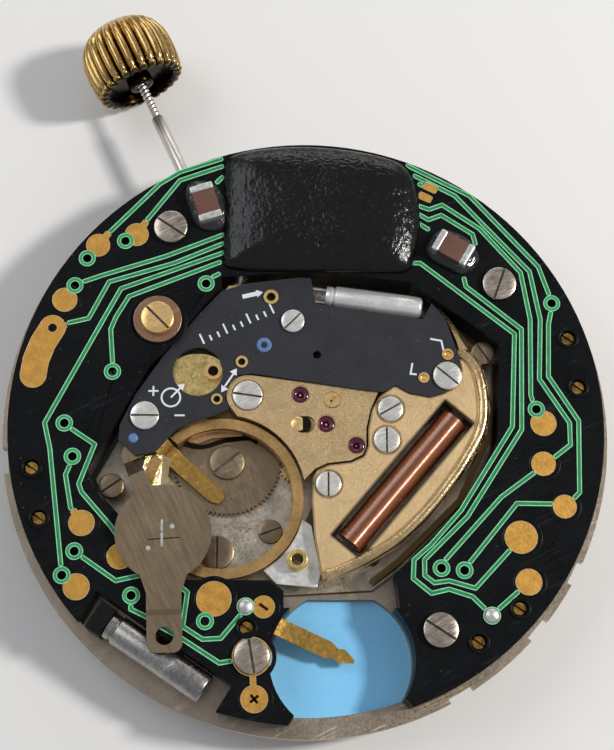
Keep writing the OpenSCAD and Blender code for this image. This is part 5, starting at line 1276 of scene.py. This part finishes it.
class BuildScrews(bpy.types.Operator):
    """Turn and slot every screw"""
    bl_idname = "movement.screws"
    bl_label = "Screws"

    def execute(self, context):
        screws()
        return {"FINISHED"}


class BuildJewels(bpy.types.Operator):
    """Turn the ruby bearings of the train bridge"""
    bl_idname = "movement.jewels"
    bl_label = "Jewels"

    def execute(self, context):
        jewels()
        return {"FINISHED"}


class BuildBlades(bpy.types.Operator):
    """Bend the gold contact blades"""
    bl_idname = "movement.blades"
    bl_label = "Contact blades"

    def execute(self, context):
        contact_blades(context.scene.movement_sizes)
        return {"FINISHED"}


class BuildBoardDetails(bpy.types.Operator):
    """Add the boards' rims, slots and solder, the painted edge highlights, pieces of painted shade and the
    bridges' small ends
    """
    bl_idname = "movement.board_details"
    bl_label = "Board details"

    def execute(self, context):
        board_details()
        return {"FINISHED"}


class BuildBridleMarks(bpy.types.Operator):
    """Engrave the battery bridle"""
    bl_idname = "movement.bridle_marks"
    bl_label = "Bridle marks"

    def execute(self, context):
        bridle_marks()
        return {"FINISHED"}


class BuildStage(bpy.types.Operator):
    """Set the floor, the lamps and the camera"""
    bl_idname = "movement.stage"
    bl_label = "Stage"

    def execute(self, context):
        stage(context.scene.movement_sizes)
        return {"FINISHED"}


OPERATORS = (BuildFinishes, DressNodes, BuildCoil, BuildGlobTop, BuildCapacitors, BuildCrystals, BuildCrown,
             BuildScrews, BuildJewels, BuildBlades, BuildBoardDetails, BuildBridleMarks, BuildStage)


class MovementPanel(bpy.types.Panel):
    """Lists the movement's pieces, sizes and colours"""
    bl_idname = "VIEW3D_PT_movement"
    bl_label = "Movement"
    bl_space_type = "VIEW_3D"
    bl_region_type = "UI"
    bl_category = "Movement"

    def draw(self, context):
        for group in (context.scene.movement_sizes, context.scene.movement_colours):
            box = self.layout.box()
            for name in group.__annotations__:
                box.prop(group, name)
        for operator in OPERATORS:
            self.layout.operator(operator.bl_idname)


CLASSES = (MovementColours, MovementSizes, *OPERATORS, MovementPanel)


def register():
    for item in CLASSES:
        bpy.utils.register_class(item)
    bpy.types.Scene.movement_colours = PointerProperty(type=MovementColours)
    bpy.types.Scene.movement_sizes = PointerProperty(type=MovementSizes)


def unregister():
    del bpy.types.Scene.movement_sizes
    del bpy.types.Scene.movement_colours
    for item in reversed(CLASSES):
        bpy.utils.unregister_class(item)


def main():
    """Builds everything in order."""
    register()
    for operator in OPERATORS:
        family, name = operator.bl_idname.split(".")
        getattr(getattr(bpy.ops, family), name)()


if __name__ == "__main__":
    main()
